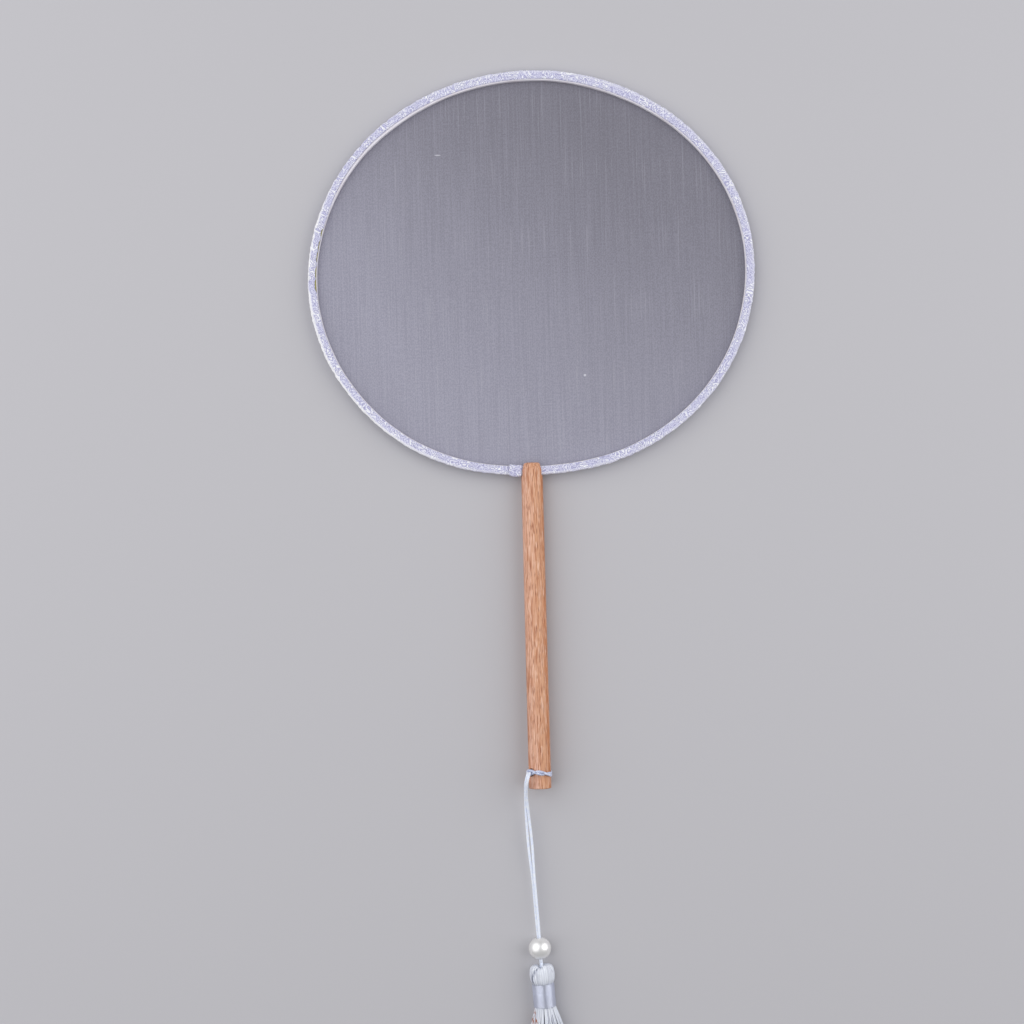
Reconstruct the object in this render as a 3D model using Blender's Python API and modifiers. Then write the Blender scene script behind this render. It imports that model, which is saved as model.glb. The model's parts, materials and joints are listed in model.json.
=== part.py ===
"""Round hand fan: an oval bamboo hoop covered with silk and edged with woven tape, on a turned
beech handle, with a doubled cord, a pearl bead and a thread tassel looped through the handle.

The fan lies on a table.  +Z is up, +Y runs from the handle to the top of the oval and the origin
is on the table under the middle of the fan, the cord and tassel left out.  Sizes are in metres.
"""

import math

import bmesh
import bpy
from mathutils import Matrix, Vector

MM = 0.001

# Clearances between neighbouring pieces
seat_gap = 0.3 * MM
cut_overrun = 2.0 * MM

# Oval rim, measured over the tape
oval_half_width = 125.0 * MM
oval_half_height = 113.7 * MM
oval_skew = math.radians(3.7)
oval_flattening = 1.2 * MM
oval_flat_half_angle = math.radians(30.0)
rim_steps = 72

# Where the hand-bent rim runs outside a true oval, or inside it: middle, reach and distance
rim_swells = (
    (math.radians(160.0), math.radians(50.0), -0.7 * MM),
    (math.radians(234.0), math.radians(28.0), 0.7 * MM),
    (math.radians(313.0), math.radians(44.0), 1.0 * MM),
)

# Bamboo hoop, silk, lining and edging tape, from inside to outside
hoop_width = 4.0 * MM
hoop_depth = 2.8 * MM
hoop_scarf_length = 5.0 * MM
silk_thickness = 0.2 * MM
silk_glue_width = 3.6 * MM
lining_thickness = 0.35 * MM
tape_thickness = 0.35 * MM
tape_corner = 0.5 * MM
tape_margin = 0.1 * MM
lap_length = 6.2 * MM
lap_steps = 3
lap_extra_leg = 0.6 * MM

# Handle
handle_side_offset = -2.3 * MM
handle_length = 181.3 * MM
handle_end_diameter = 12.4 * MM
handle_top_diameter = 11.9 * MM
cone_base_diameter = 11.8 * MM
tip_diameter = 10.6 * MM
cone_length = 4.0 * MM
shoulder_length = 5.6 * MM
tip_round = 1.4 * MM
tip_round_steps = 4
end_chamfer = 0.4 * MM
handle_sides = 48
tip_past_rim = 8.1 * MM

# Hole for the cord, drilled slantwise near the end of the handle
cord_hole_diameter = 4.6 * MM
cord_hole_from_end = 9.3 * MM
cord_hole_slant = math.radians(51.0)
hole_sides = 32

# Doubled cord
cord_diameter = 1.4 * MM
strand_spacing = 1.7 * MM
loop_strand_spacing = 1.9 * MM
bight_spacing = 3.5 * MM
cord_step = 2.2 * cord_diameter
loop_step = 1.0 * cord_diameter
cord_bevel_resolution = 2
spline_parts = 24

# Bead
bead_diameter = 12.6 * MM
bead_bore_diameter = 3.7 * MM
bead_above_tassel = 7.9 * MM
bead_rows = 10
bead_sides = 32

# Tassel
tassel_joint_drop = 97.3 * MM
tassel_joint_offset = -2.0 * MM
hang_angle = math.radians(3.6)
cord_joint_gap = 0.7 * MM
head_below_joint = 1.15 * MM
head_length = 11.4 * MM
head_half_width = 7.05 * MM
head_bore_depth = 5.0 * MM
head_dip_depth = 1.4 * MM
head_dip_width = 4.6 * MM
core_radius = 5.3 * MM
neck_length = 12.6 * MM
neck_thickness = 0.65 * MM
neck_round = 0.3 * MM
neck_sides = 40
skirt_length = 85.0 * MM
skirt_half_width = 21.0 * MM
skirt_end_height = 5.6 * MM
flute_count = 24
flute_depth = 0.45 * MM
flute_end_depth = 0.9 * MM

# Sizes that follow from the ones above
tape_outer_gap = tape_thickness + seat_gap
lining_inset = tape_outer_gap + hoop_width + seat_gap
tape_leg = tape_outer_gap + hoop_width + tape_margin
rim_depth = hoop_depth + silk_thickness + 2 * tape_thickness + 3 * seat_gap
rim_half_depth = rim_depth / 2
hoop_front = rim_half_depth - tape_thickness - seat_gap
hoop_back = hoop_front - hoop_depth
silk_front = hoop_back - seat_gap
slot_width = rim_depth + 2 * seat_gap
handle_top_radius = handle_top_diameter / 2
handle_end_radius = handle_end_diameter / 2
cord_radius = cord_diameter / 2
bead_radius = bead_diameter / 2

# The handle's places along Y, seen from the middle of the oval
tip_place = tip_past_rim - oval_half_height
end_place = tip_place - handle_length
shoulder_place = tip_place - cone_length - shoulder_length
hole_place = end_place + cord_hole_from_end

# The fan lies on the shoulder of its handle and on the far edge of its rim, so it leans a little
rim_top = math.hypot(oval_half_width * math.sin(oval_skew), oval_half_height * math.cos(oval_skew))
rim_rest_place = rim_top - tape_corner
lean = math.atan2(handle_top_radius - rim_half_depth, rim_rest_place - shoulder_place)
axis_height = shoulder_place * math.sin(lean) + handle_top_radius * math.cos(lean)
back_limit = rim_top * math.cos(lean) + rim_half_depth * math.sin(lean)
front_limit = end_place * math.cos(lean) - (handle_end_radius - end_chamfer) * math.sin(lean)
middle_place = (back_limit + front_limit) / 2


def clear_scene():
    """Remove every object that the file starts with."""
    for item in list(bpy.data.objects):
        bpy.data.objects.remove(item, do_unlink=True)


def make_collection(name):
    """Add a collection to the scene and return it."""
    made = bpy.data.collections.new(name)
    bpy.context.scene.collection.children.link(made)
    return made


def make_material(name, colour, roughness, metallic=0.0):
    """Make a plain Principled material."""
    material = bpy.data.materials.new(name)
    material.use_nodes = True
    shader = material.node_tree.nodes["Principled BSDF"]
    shader.inputs["Base Color"].default_value = (*colour, 1.0)
    shader.inputs["Roughness"].default_value = roughness
    shader.inputs["Metallic"].default_value = metallic
    return material


clear_scene()
fan_parts = make_collection("round_hand_fan")
cutters = make_collection("cutters")


def add_object(name, data, parent, collection=fan_parts):
    """Link a new object to its collection under its parent."""
    item = bpy.data.objects.new(name, data)
    item.parent = parent
    collection.objects.link(item)
    return item


def add_empty(name, location, rotation, parent=None):
    """Add an empty that carries other pieces."""
    empty = add_object(name, None, parent)
    empty.location = location
    empty.rotation_euler = rotation
    return empty


def mark_as_cutter(item):
    """Show a cutter or guide as wire and leave it out of renders."""
    item.hide_render = True
    item.display_type = "WIRE"


def finish_mesh(item, material, smooth_angle=math.radians(35.0)):
    """Give a mesh object its material and smooth shading."""
    item.data.materials.append(material)
    item.data.shade_smooth()
    item.data.set_sharp_from_angle(angle=smooth_angle)


def mesh_object(name, source, parent, collection=fan_parts):
    """Turn a filled bmesh into an object."""
    data = bpy.data.meshes.new(name)
    source.to_mesh(data)
    source.free()
    return add_object(name, data, parent, collection)


def turned_object(name, profile, closed, sides, parent, collection=fan_parts):
    """Turn a profile of radius and height, listed from top to bottom, about the object's Z axis."""
    shape = bmesh.new()
    points = [shape.verts.new((radius, 0, height)) for radius, height in profile]
    for first, second in zip(points, points[1:]):
        shape.edges.new((first, second))
    if closed:
        shape.edges.new((points[-1], points[0]))
    item = mesh_object(name, shape, parent, collection)
    screw = item.modifiers.new("turn", "SCREW")
    screw.axis = "Z"
    screw.angle = math.tau
    screw.steps = sides
    screw.render_steps = sides
    screw.use_merge_vertices = True
    screw.merge_threshold = 0.01 * MM
    screw.use_smooth_shade = True
    return item


def cut_away(item, cutter):
    """Cut one closed shape out of another."""
    boolean = item.modifiers.new("cut " + cutter.name, "BOOLEAN")
    boolean.operation = "DIFFERENCE"
    boolean.solver = "EXACT"
    boolean.object = cutter


def smooth_route(points, step):
    """Read evenly spaced points from one smooth curve through the route's own points."""
    dense = []
    for index in range(len(points) - 1):
        before = points[max(index - 1, 0)]
        after = points[min(index + 2, len(points) - 1)]
        for part in range(spline_parts):
            share = part / spline_parts
            dense.append(spline_point(before, points[index], points[index + 1], after, share))
    dense.append(points[-1].copy())
    lengths = [0.0]
    for first, second in zip(dense, dense[1:]):
        lengths.append(lengths[-1] + (second - first).length)
    steps = max(2, round(lengths[-1] / step))
    route = []
    index = 0
    for number in range(steps + 1):
        target = lengths[-1] * number / steps
        while index < len(lengths) - 2 and lengths[index + 1] < target:
            index += 1
        share = (target - lengths[index]) / (lengths[index + 1] - lengths[index])
        route.append(dense[index].lerp(dense[index + 1], share))
    return route


def spline_point(before, start, end, after, share):
    """Point between start and end on a smooth curve that passes through all its points."""
    squared = share * share
    cubed = squared * share
    return (before * (-cubed + 2 * squared - share)
            + start * (3 * cubed - 5 * squared + 2)
            + end * (-3 * cubed + 4 * squared + share)
            + after * (cubed - squared)) / 2


def tube_object(name, points, radius, material, parent=None):
    """A cord as a curve with a round bevel and filled caps."""
    curve = bpy.data.curves.new(name, "CURVE")
    curve.dimensions = "3D"
    curve.bevel_depth = radius
    curve.bevel_resolution = cord_bevel_resolution
    curve.use_fill_caps = True
    curve.resolution_u = 1
    curve.render_resolution_u = 0
    spline = curve.splines.new("POLY")
    spline.points.add(len(points) - 1)
    for target, point in zip(spline.points, points):
        target.co = (*point, 1)
    curve.materials.append(material)
    return add_object(name, curve, parent)


def rim_point(angle, inset=0.0):
    """Point of the oval, inset square to its outline, with the flatter stretch at the handle."""
    before = oval_outline(angle - 0.001)
    after = oval_outline(angle + 0.001)
    along = (after - before).normalized()
    inward = Vector((-along.y, along.x, 0))
    return oval_outline(angle) + inward * inset


def rim_swell(angle):
    """How far the rim stands outside a true oval at an angle."""
    swell = 0.0
    for middle, reach, distance in rim_swells:
        away = (angle - middle + math.pi) % math.tau - math.pi
        if abs(away) < reach:
            swell += distance * math.cos(math.pi / 2 * away / reach) ** 2
    return swell


def oval_outline(angle):
    """Outer edge of the rim at an angle counted from the oval's long axis."""
    across = oval_half_width * math.cos(angle)
    up = oval_half_height * math.sin(angle)
    point = Matrix.Rotation(oval_skew, 3, "Z") @ Vector((across, up, 0))
    point += point.normalized() * rim_swell(angle)
    from_bottom = math.atan2(point.x, -point.y)
    if abs(from_bottom) < oval_flat_half_angle:
        share = math.cos(math.pi / 2 * from_bottom / oval_flat_half_angle) ** 2
        point.y += oval_flattening * share
    return point


def angle_of_top():
    """Angle whose point on the oval lies farthest from the handle."""
    return math.atan2(oval_half_height * math.cos(oval_skew), oval_half_width * math.sin(oval_skew))


def swept_rim_piece(name, section, angles, closed, material, parent):
    """Sweep a closed section along the rim.  A section point is its inset and its height."""
    rings = []
    shape = bmesh.new()
    for angle in angles:
        ring = []
        for inset, height in section:
            place = rim_point(angle, inset)
            ring.append(shape.verts.new((place.x, place.y, height)))
        rings.append(ring)
    pairs = list(zip(rings, rings[1:]))
    if closed:
        pairs.append((rings[-1], rings[0]))
    for first, second in pairs:
        join_rings(shape, first, second)
    if not closed:
        shape.faces.new(rings[0])
        shape.faces.new(list(reversed(rings[-1])))
    bmesh.ops.recalc_face_normals(shape, faces=shape.faces)
    item = mesh_object(name, shape, parent)
    finish_mesh(item, material)
    return item


def join_rings(shape, first, second):
    """Put a band of faces between two rings of as many points."""
    count = len(first)
    for index in range(count):
        following = (index + 1) % count
        shape.faces.new((first[index], second[index], second[following], first[following]))


def rim_angles():
    """Angles of the rim's steps, the first at its farthest point."""
    return [angle_of_top() + math.tau * step / rim_steps for step in range(rim_steps)]


def rectangle(inset, width, bottom, height):
    """Section of a plain strip."""
    return [(inset, bottom), (inset + width, bottom), (inset + width, bottom + height),
            (inset, bottom + height)]


def folded_section(outset, half_depth, leg):
    """Section of a tape folded over the rim, with its two outer corners rounded off."""
    inner = outset + tape_thickness
    return [
        (leg, half_depth),
        (outset + tape_corner, half_depth),
        (outset, half_depth - tape_corner),
        (outset, tape_corner - half_depth),
        (outset + tape_corner, -half_depth),
        (leg, -half_depth),
        (leg, tape_thickness - half_depth),
        (inner, tape_thickness - half_depth),
        (inner, half_depth - tape_thickness),
        (leg, half_depth - tape_thickness),
    ]


def make_rim(fan, materials):
    """Hoop, silk, lining and edging tape."""
    angles = rim_angles()
    section = rectangle(tape_outer_gap, hoop_width, hoop_back, hoop_depth)
    hoop = swept_rim_piece("hoop", section, angles, True, materials["bamboo"], fan)
    cut_away(hoop, scarf_cutter(fan))

    section = rectangle(lining_inset, lining_thickness, hoop_back, hoop_depth)
    swept_rim_piece("inner_lining", section, angles, True, materials["lining"], fan)

    section = folded_section(0.0, rim_half_depth, tape_leg)
    swept_rim_piece("edge_binding", section, angles, True, materials["tape"], fan)

    make_lap(fan, materials["tape"])
    make_silk(fan, angles, materials["silk"])


def scarf_cutter(fan):
    """Thin slanting blade that leaves the hoop's two ends lying on each other in the handle."""
    shape = bmesh.new()
    bmesh.ops.create_cube(shape, size=1.0)
    slant = math.atan2(hoop_scarf_length, hoop_width)
    size = (seat_gap, math.hypot(hoop_scarf_length, hoop_width) + 2 * cut_overrun,
            hoop_depth + 2 * cut_overrun)
    bmesh.ops.scale(shape, vec=size, verts=shape.verts)
    cutter = mesh_object("scarf_cutter", shape, fan, cutters)
    bottom = rim_place_at(handle_side_offset, tape_outer_gap + hoop_width / 2)
    cutter.location = (bottom.x, bottom.y, hoop_back + hoop_depth / 2)
    cutter.rotation_euler = (0, 0, slant)
    mark_as_cutter(cutter)
    return cutter


def rim_angle_at(side):
    """Angle of the rim's lower half at a given X."""
    low = math.pi
    high = math.tau
    for _ in range(40):
        middle = (low + high) / 2
        if oval_outline(middle).x < side:
            low = middle
        else:
            high = middle
    return (low + high) / 2


def rim_place_at(side, inset):
    """Place on the rim's lower half at a given X."""
    return rim_point(rim_angle_at(side), inset)


def make_lap(fan, material):
    """The tape's overlapping end, a second layer beside the handle."""
    start = handle_side_offset - handle_top_radius - 2 * seat_gap
    last = rim_angle_at(start)
    first = rim_angle_at(start - lap_length)
    angles = [first + (last - first) * step / lap_steps for step in range(lap_steps + 1)]
    layer = tape_thickness + seat_gap
    section = folded_section(-layer, rim_half_depth + layer, tape_leg + lap_extra_leg)
    swept_rim_piece("binding_lap", section, angles, False, material, fan)


def make_silk(fan, angles, material):
    """Sheet of silk glued to the hoop's back."""
    curve = bpy.data.curves.new("silk_panel", "CURVE")
    curve.dimensions = "2D"
    curve.fill_mode = "BOTH"
    curve.extrude = silk_thickness / 2
    curve.resolution_u = 1
    curve.render_resolution_u = 0
    spline = curve.splines.new("POLY")
    spline.points.add(len(angles) - 1)
    inset = tape_outer_gap + hoop_width - silk_glue_width
    for target, angle in zip(spline.points, angles):
        target.co = (*rim_point(angle, inset), 1)
    spline.use_cyclic_u = True
    curve.materials.append(material)
    silk = add_object("silk_panel", curve, fan)
    silk.location = (0, 0, silk_front - silk_thickness / 2)
    return silk


def make_handle(fan, material):
    """Turned handle with a slot for the rim and a slanting hole for the cord."""
    base = cone_base_diameter / 2
    tip = tip_diameter / 2
    profile = [(0, tip_place)]
    for step in range(tip_round_steps + 1):
        turn = math.pi / 2 * step / tip_round_steps
        radius = tip - tip_round * (1 - math.sin(turn))
        profile.append((radius, tip_place - tip_round * (1 - math.cos(turn))))
    profile += [
        (base, tip_place - cone_length),
        (handle_top_radius, shoulder_place),
        (handle_end_radius, end_place + end_chamfer),
        (handle_end_radius - end_chamfer, end_place),
        (0, end_place),
    ]
    handle = turned_object("handle", profile, False, handle_sides, fan)
    handle.location = (handle_side_offset, 0, 0)
    handle.rotation_euler = (-math.pi / 2, 0, 0)
    finish_mesh(handle, material)
    cut_away(handle, slot_cutter(fan))
    cut_away(handle, hole_cutter(fan))


def slot_cutter(fan):
    """Block as thick as the rim, with its floor just under the rim's outer edge."""
    shape = bmesh.new()
    bmesh.ops.create_cube(shape, size=1.0)
    left = handle_side_offset - handle_top_radius
    right = handle_side_offset + handle_top_radius
    lowest = min(rim_place_at(left, 0.0).y, rim_place_at(right, 0.0).y,
                 rim_place_at(handle_side_offset, 0.0).y)
    floor = lowest - seat_gap
    height = tip_place + cut_overrun - floor
    size = (handle_top_diameter + 2 * cut_overrun, height, slot_width)
    bmesh.ops.scale(shape, vec=size, verts=shape.verts)
    cutter = mesh_object("slot_cutter", shape, fan, cutters)
    cutter.location = (handle_side_offset, floor + height / 2, 0)
    mark_as_cutter(cutter)
    return cutter


def hole_cutter(fan):
    """Drill for the cord."""
    shape = bmesh.new()
    bmesh.ops.create_cone(shape, cap_ends=True, segments=hole_sides,
                          radius1=cord_hole_diameter / 2, radius2=cord_hole_diameter / 2,
                          depth=handle_end_diameter + 2 * cut_overrun)
    cutter = mesh_object("hole_cutter", shape, fan, cutters)
    cutter.location = (handle_side_offset, hole_place, 0)
    cutter.rotation_euler = (0, -cord_hole_slant, 0)
    mark_as_cutter(cutter)
    return cutter


def around_handle(radius, turn, aside):
    """Point around the handle at the cord hole, its turn counted from +X towards +Z."""
    return Vector((radius * math.cos(turn), aside, radius * math.sin(turn)))


# Places of the hitch, chosen by hand.  The free end's shares are of the handle's radius, across
# and up, and of the hole's slant.  The hole's are of the handle's radius.  Past the back mouth come
# shares of the strand spacing round the handle, of the wrap's height over the wood and of the
# loop's spacing.  Round the front mouth come shares of the strand spacing and of the bight's width.
free_end_shares = ((-0.970, 0.860, 0.0), (-0.955, 0.805, 0.2), (-0.895, 0.715, 0.55))
in_hole_shares = (0.80, 0.45, 0.0, -0.45, -0.80)
back_mouth_shares = ((0.26, 0.14, 0.9), (0.96, 0.86, 1.0), (1.77, 1.0, 1.0))
noose_shares = ((-1.26, 0.86), (-0.52, 1.0), (0.44, 1.0), (1.11, 0.74), (1.48, 0.36))
noose_end_share = 1.59
wrap_start_share = 2.96
wrap_end_share = -2.22
wrap_steps = 9
wrap_height = seat_gap + cord_radius
wrap_radius = handle_end_radius + wrap_height
spacing_turn = strand_spacing / wrap_radius
front_mouth = math.pi / 2 + cord_hole_slant
back_mouth = front_mouth - math.pi


def hitch_side(side):
    """One strand of the hitch, from its free end through the hole and round to the bight."""
    half = strand_spacing / 2
    points = []
    for across_share, up_share, bend_share in free_end_shares:
        bend = cord_hole_slant * bend_share
        place = Vector((across_share * handle_end_radius, 0, up_share * handle_end_radius))
        place += Vector((math.cos(bend), 0, math.sin(bend))) * (side * half)
        points.append(place)
    # Through the hole the two strands make a quarter turn about each other
    across = Vector((math.sin(front_mouth), 0, -math.cos(front_mouth)))
    for index, share in enumerate(in_hole_shares):
        roll = math.pi / 2 * index / (len(in_hole_shares) - 1)
        place = around_handle(share * handle_end_radius, front_mouth, side * half * math.sin(roll))
        points.append(place + across * (side * half * math.cos(roll)))
    # Out at the back, then round the right side and over the front
    aside = side * loop_strand_spacing / 2
    for turn_share, height_share, aside_share in back_mouth_shares:
        radius = handle_end_radius + wrap_height * height_share
        turn = back_mouth + spacing_turn * turn_share
        points.append(around_handle(radius, turn, aside * aside_share))
    first_turn = back_mouth + spacing_turn * wrap_start_share
    last_turn = front_mouth + spacing_turn * wrap_end_share
    for step in range(wrap_steps + 1):
        turn = first_turn + (last_turn - first_turn) * step / wrap_steps
        points.append(around_handle(wrap_radius, turn, aside))
    # Round the strands that leave the hole
    for turn_share, wide_share in noose_shares:
        turn = front_mouth + spacing_turn * turn_share
        points.append(around_handle(wrap_radius, turn, side * wide_share * bight_spacing / 2))
    return points


def make_hitch(fan, material):
    """Cord through the hole, round the handle and back in a noose, as one tube."""
    middle = around_handle(wrap_radius, front_mouth + spacing_turn * noose_end_share, 0)
    points = hitch_side(1) + [middle] + list(reversed(hitch_side(-1)))
    place = Matrix.Translation((handle_side_offset, hole_place, 0))
    route = [fan_frame @ place @ point for point in smooth_route(points, loop_step)]
    tube_object("hitch_loop", route, cord_radius, material)


# Route of the doubled cord from the hitch to the tassel, chosen by hand along the middle between
# its two strands: X, Y and Z in millimetres, half the distance between the strands, and the
# strands' roll in degrees, 0 side by side and 90 one over the other.
CORD_ROUTE = (
    (-8.34, -190.98, 14.55, 0.85, 0),
    (-8.34, -190.98, 15.15, 0.85, 0),
    (-8.42, -191.28, 15.90, 0.85, 0),
    (-8.66, -192.00, 16.62, 0.85, 4),
    (-9.05, -193.20, 17.12, 0.85, 12),
    (-9.50, -194.65, 17.10, 0.85, 22),
    (-9.90, -196.10, 16.60, 0.85, 34),
    (-10.18, -197.80, 15.65, 0.85, 46),
    (-10.33, -200.20, 13.95, 0.85, 56),
    (-10.35, -203.40, 11.90, 0.85, 58),
    (-10.25, -207.60, 9.95, 0.85, 48),
    (-10.00, -212.60, 8.45, 0.90, 28),
    (-9.60, -218.60, 7.45, 1.00, 10),
    (-9.12, -225.60, 6.80, 1.20, 2),
    (-8.60, -233.00, 6.45, 1.25, 6),
    (-8.05, -241.00, 6.32, 1.05, 20),
    (-7.51, -248.50, 6.30, 0.86, 36),
    (-7.08, -254.50, 6.30, 0.85, 45),
    (-6.37, -265.70, 6.30, 0.85, 45),
    (-5.62, -277.60, 6.30, 0.85, 45),
    (-4.85, -289.80, 6.30, 0.85, 45),
    (-4.39, -297.25, 6.30, 0.85, 45),
)


def strand_route(side):
    """Route of one strand of the doubled cord, which starts upright over the hitch's end."""
    middle = [Vector(entry[:3]) * MM for entry in CORD_ROUTE]
    points = []
    for index, entry in enumerate(CORD_ROUTE):
        half = entry[3] * MM
        roll = math.radians(entry[4])
        before = middle[max(index - 1, 0)]
        after = middle[min(index + 1, len(middle) - 1)]
        along = (after - before).normalized()
        across = Vector((1, 0, 0))
        across = (across - along * across.dot(along)).normalized()
        above = along.cross(across)
        offset = across * math.cos(roll) + above * math.sin(roll)
        points.append(middle[index] + offset * (side * half))
    return [points[0]] + smooth_route(points[1:], cord_step)


def make_strands(material):
    """The two strands of the doubled cord."""
    for name, side in (("cord_strand_left", -1), ("cord_strand_right", 1)):
        route = strand_route(side)
        tube_object(name, route, cord_radius, material)
        length = sum((b - a).length for a, b in zip(route, route[1:]))
        print(name, "length", round(length / MM, 1), "mm in", len(route), "points")


def make_bead(hang, material):
    """Pearl bead bored for both strands."""
    bore = bead_bore_diameter / 2
    first = math.asin(bore / bead_radius)
    profile = []
    for step in range(bead_rows + 1):
        turn = first + (math.pi - 2 * first) * step / bead_rows
        profile.append((bead_radius * math.sin(turn), bead_radius * math.cos(turn)))
    bead = turned_object("pearl_bead", profile, True, bead_sides, hang)
    bead.location = (0, bead_above_tassel, 0)
    bead.rotation_euler = (-math.pi / 2, 0, 0)
    finish_mesh(bead, material)


def make_cord_end(hang, material):
    """End of the doubled cord, a loop hidden in the tassel's head that holds its threads."""
    half = strand_spacing / 2
    roll = math.pi / 4
    offset = Vector((math.cos(roll), 0, math.sin(roll)))
    top = -cord_joint_gap / 2
    floor = seat_gap + cord_radius - head_below_joint - head_bore_depth
    straight = floor + half
    points = [offset * half + Vector((0, top, 0))]
    points.append(offset * half + Vector((0, (top + straight) / 2, 0)))
    turn_steps = 6
    for step in range(turn_steps + 1):
        turn = math.pi * step / turn_steps
        points.append(offset * (half * math.cos(turn)) + Vector((0, straight - half * math.sin(turn), 0)))
    points.append(offset * -half + Vector((0, (top + straight) / 2, 0)))
    points.append(offset * -half + Vector((0, top, 0)))
    route = smooth_route(points, cord_radius)
    tube_object("cord_end_loop", route, cord_radius, material, hang)


def thread_section(place, half_width, top, bottom, squareness, flutes):
    """One ring of the tassel: an oval or flat-bottomed outline with a fluted edge."""
    centre = (top + bottom) / 2
    half_height = (top - bottom) / 2
    ring = []
    points_per_flute = 3
    count = flute_count * points_per_flute
    for index in range(count):
        turn = math.tau * index / count
        cosine = math.cos(turn)
        sine = math.sin(turn)
        across = math.copysign(abs(cosine) ** squareness, cosine)
        up = math.copysign(abs(sine) ** squareness, sine)
        groove = flutes if index % points_per_flute == 0 else 0.0
        width = half_width - groove
        height = half_height - groove
        ring.append((width * across, place, centre + height * up))
    return ring


def make_threads(hang, material):
    """The tassel's threads as one body: folded head, bound core and open skirt."""
    head_top = -head_below_joint
    neck_top = head_top - head_length
    skirt_top = neck_top - neck_length
    skirt_bottom = skirt_top - skirt_length
    floor = -bead_radius
    rings = []
    # The head's places down its length and its sizes, as shares of its own
    head_shares = ((0.0, 0.66), (0.05, 0.80), (0.15, 0.91), (0.32, 0.985), (0.60, 1.0),
                   (0.86, 0.975), (1.0, 0.90))
    for place_share, size_share in head_shares:
        place = head_top - head_length * place_share
        height = bead_radius * size_share
        rings.append(thread_section(place, head_half_width * size_share, height, -height, 0.9,
                                    flute_depth / 2))
    core_inset = seat_gap
    for place in (neck_top + core_inset / 2, skirt_top + core_inset):
        rings.append(thread_section(place, core_radius, core_radius, -core_radius, 1.0, 0.0))
    # The skirt's places, widths, heights and flute depths, as shares of their end sizes
    skirt_shares = ((0.0, 0.31, 1.0, 0.2), (0.05, 0.37, 0.99, 0.3), (0.12, 0.45, 0.95, 0.4),
                    (0.22, 0.56, 0.86, 0.5), (0.36, 0.69, 0.72, 0.6), (0.54, 0.81, 0.50, 0.8),
                    (0.76, 0.92, 0.24, 0.9), (0.96, 1.0, 0.03, 1.0), (1.0, 0.985, 0.0, 1.0))
    start_height = 2 * bead_radius
    for place_share, width_share, height_share, flute_share in skirt_shares:
        place = skirt_top - skirt_length * place_share
        height = skirt_end_height + (start_height - skirt_end_height) * height_share
        rings.append(thread_section(place, skirt_half_width * width_share, floor + height, floor,
                                    0.9, flute_end_depth * flute_share))
    shape = bmesh.new()
    loops = [[shape.verts.new(point) for point in ring] for ring in rings]
    for first, second in zip(loops, loops[1:]):
        join_rings(shape, first, second)
    shape.faces.new(loops[0])
    shape.faces.new(list(reversed(loops[-1])))
    bmesh.ops.recalc_face_normals(shape, faces=shape.faces)
    threads = mesh_object("tassel_threads", shape, hang)
    finish_mesh(threads, material, math.radians(60.0))
    cut_away(threads, head_bore_cutter(hang))
    cut_away(threads, head_dip_cutter(hang))
    print("tassel ends", round(-skirt_bottom / MM, 1), "mm below its joint")


def head_bore_cutter(hang):
    """Room for the cord's end in the tassel's head."""
    shape = bmesh.new()
    depth = head_bore_depth + cut_overrun
    bmesh.ops.create_cone(shape, cap_ends=True, segments=hole_sides,
                          radius1=bead_bore_diameter / 2, radius2=bead_bore_diameter / 2,
                          depth=depth)
    cutter = mesh_object("head_bore_cutter", shape, hang, cutters)
    cutter.location = (0, cut_overrun - head_below_joint - depth / 2, 0)
    cutter.rotation_euler = (-math.pi / 2, 0, 0)
    mark_as_cutter(cutter)
    return cutter


def head_dip_cutter(hang):
    """Groove over the head's top, where the folded threads part round the cord."""
    shape = bmesh.new()
    half = head_dip_width / 2
    radius = (half * half + head_dip_depth * head_dip_depth) / (2 * head_dip_depth)
    bmesh.ops.create_cone(shape, cap_ends=True, segments=hole_sides,
                          radius1=radius, radius2=radius, depth=bead_diameter + 2 * cut_overrun)
    cutter = mesh_object("head_dip_cutter", shape, hang, cutters)
    cutter.location = (0, radius - head_below_joint - head_dip_depth, 0)
    mark_as_cutter(cutter)
    return cutter


def make_neck(hang, material):
    """Thread wound round the tassel under its head, turn on turn, as one smooth band."""
    inner = core_radius + seat_gap
    outer = inner + neck_thickness
    half = neck_length / 2 - seat_gap
    profile = [
        (inner, half),
        (outer - neck_round, half),
        (outer, half - neck_round),
        (outer, neck_round - half),
        (outer - neck_round, -half),
        (inner, -half),
    ]
    neck = turned_object("tassel_neck", profile, True, neck_sides, hang)
    neck.location = (0, -head_below_joint - head_length - neck_length / 2, 0)
    neck.rotation_euler = (-math.pi / 2, 0, 0)
    finish_mesh(neck, material)


materials = {
    "beech": make_material("beech", (0.60, 0.33, 0.22), 0.55),
    "bamboo": make_material("bamboo", (0.62, 0.58, 0.30), 0.6),
    "silk": make_material("silk", (0.72, 0.71, 0.78), 0.6),
    "lining": make_material("lining", (0.86, 0.84, 0.80), 0.8),
    "tape": make_material("tape", (0.70, 0.70, 0.78), 0.6),
    "cord": make_material("cord", (0.74, 0.78, 0.86), 0.45),
    "pearl": make_material("pearl", (0.82, 0.80, 0.76), 0.2),
    "tassel": make_material("tassel", (0.76, 0.78, 0.84), 0.5),
    "neck": make_material("neck", (0.72, 0.74, 0.82), 0.3, 0.3),
}

fan = add_empty("fan_assembly", (0, -middle_place, axis_height), (-lean, 0, 0))
bpy.context.view_layer.update()
fan_frame = fan.matrix_world.copy()
make_rim(fan, materials)
make_handle(fan, materials["beech"])
make_hitch(fan, materials["cord"])

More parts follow.
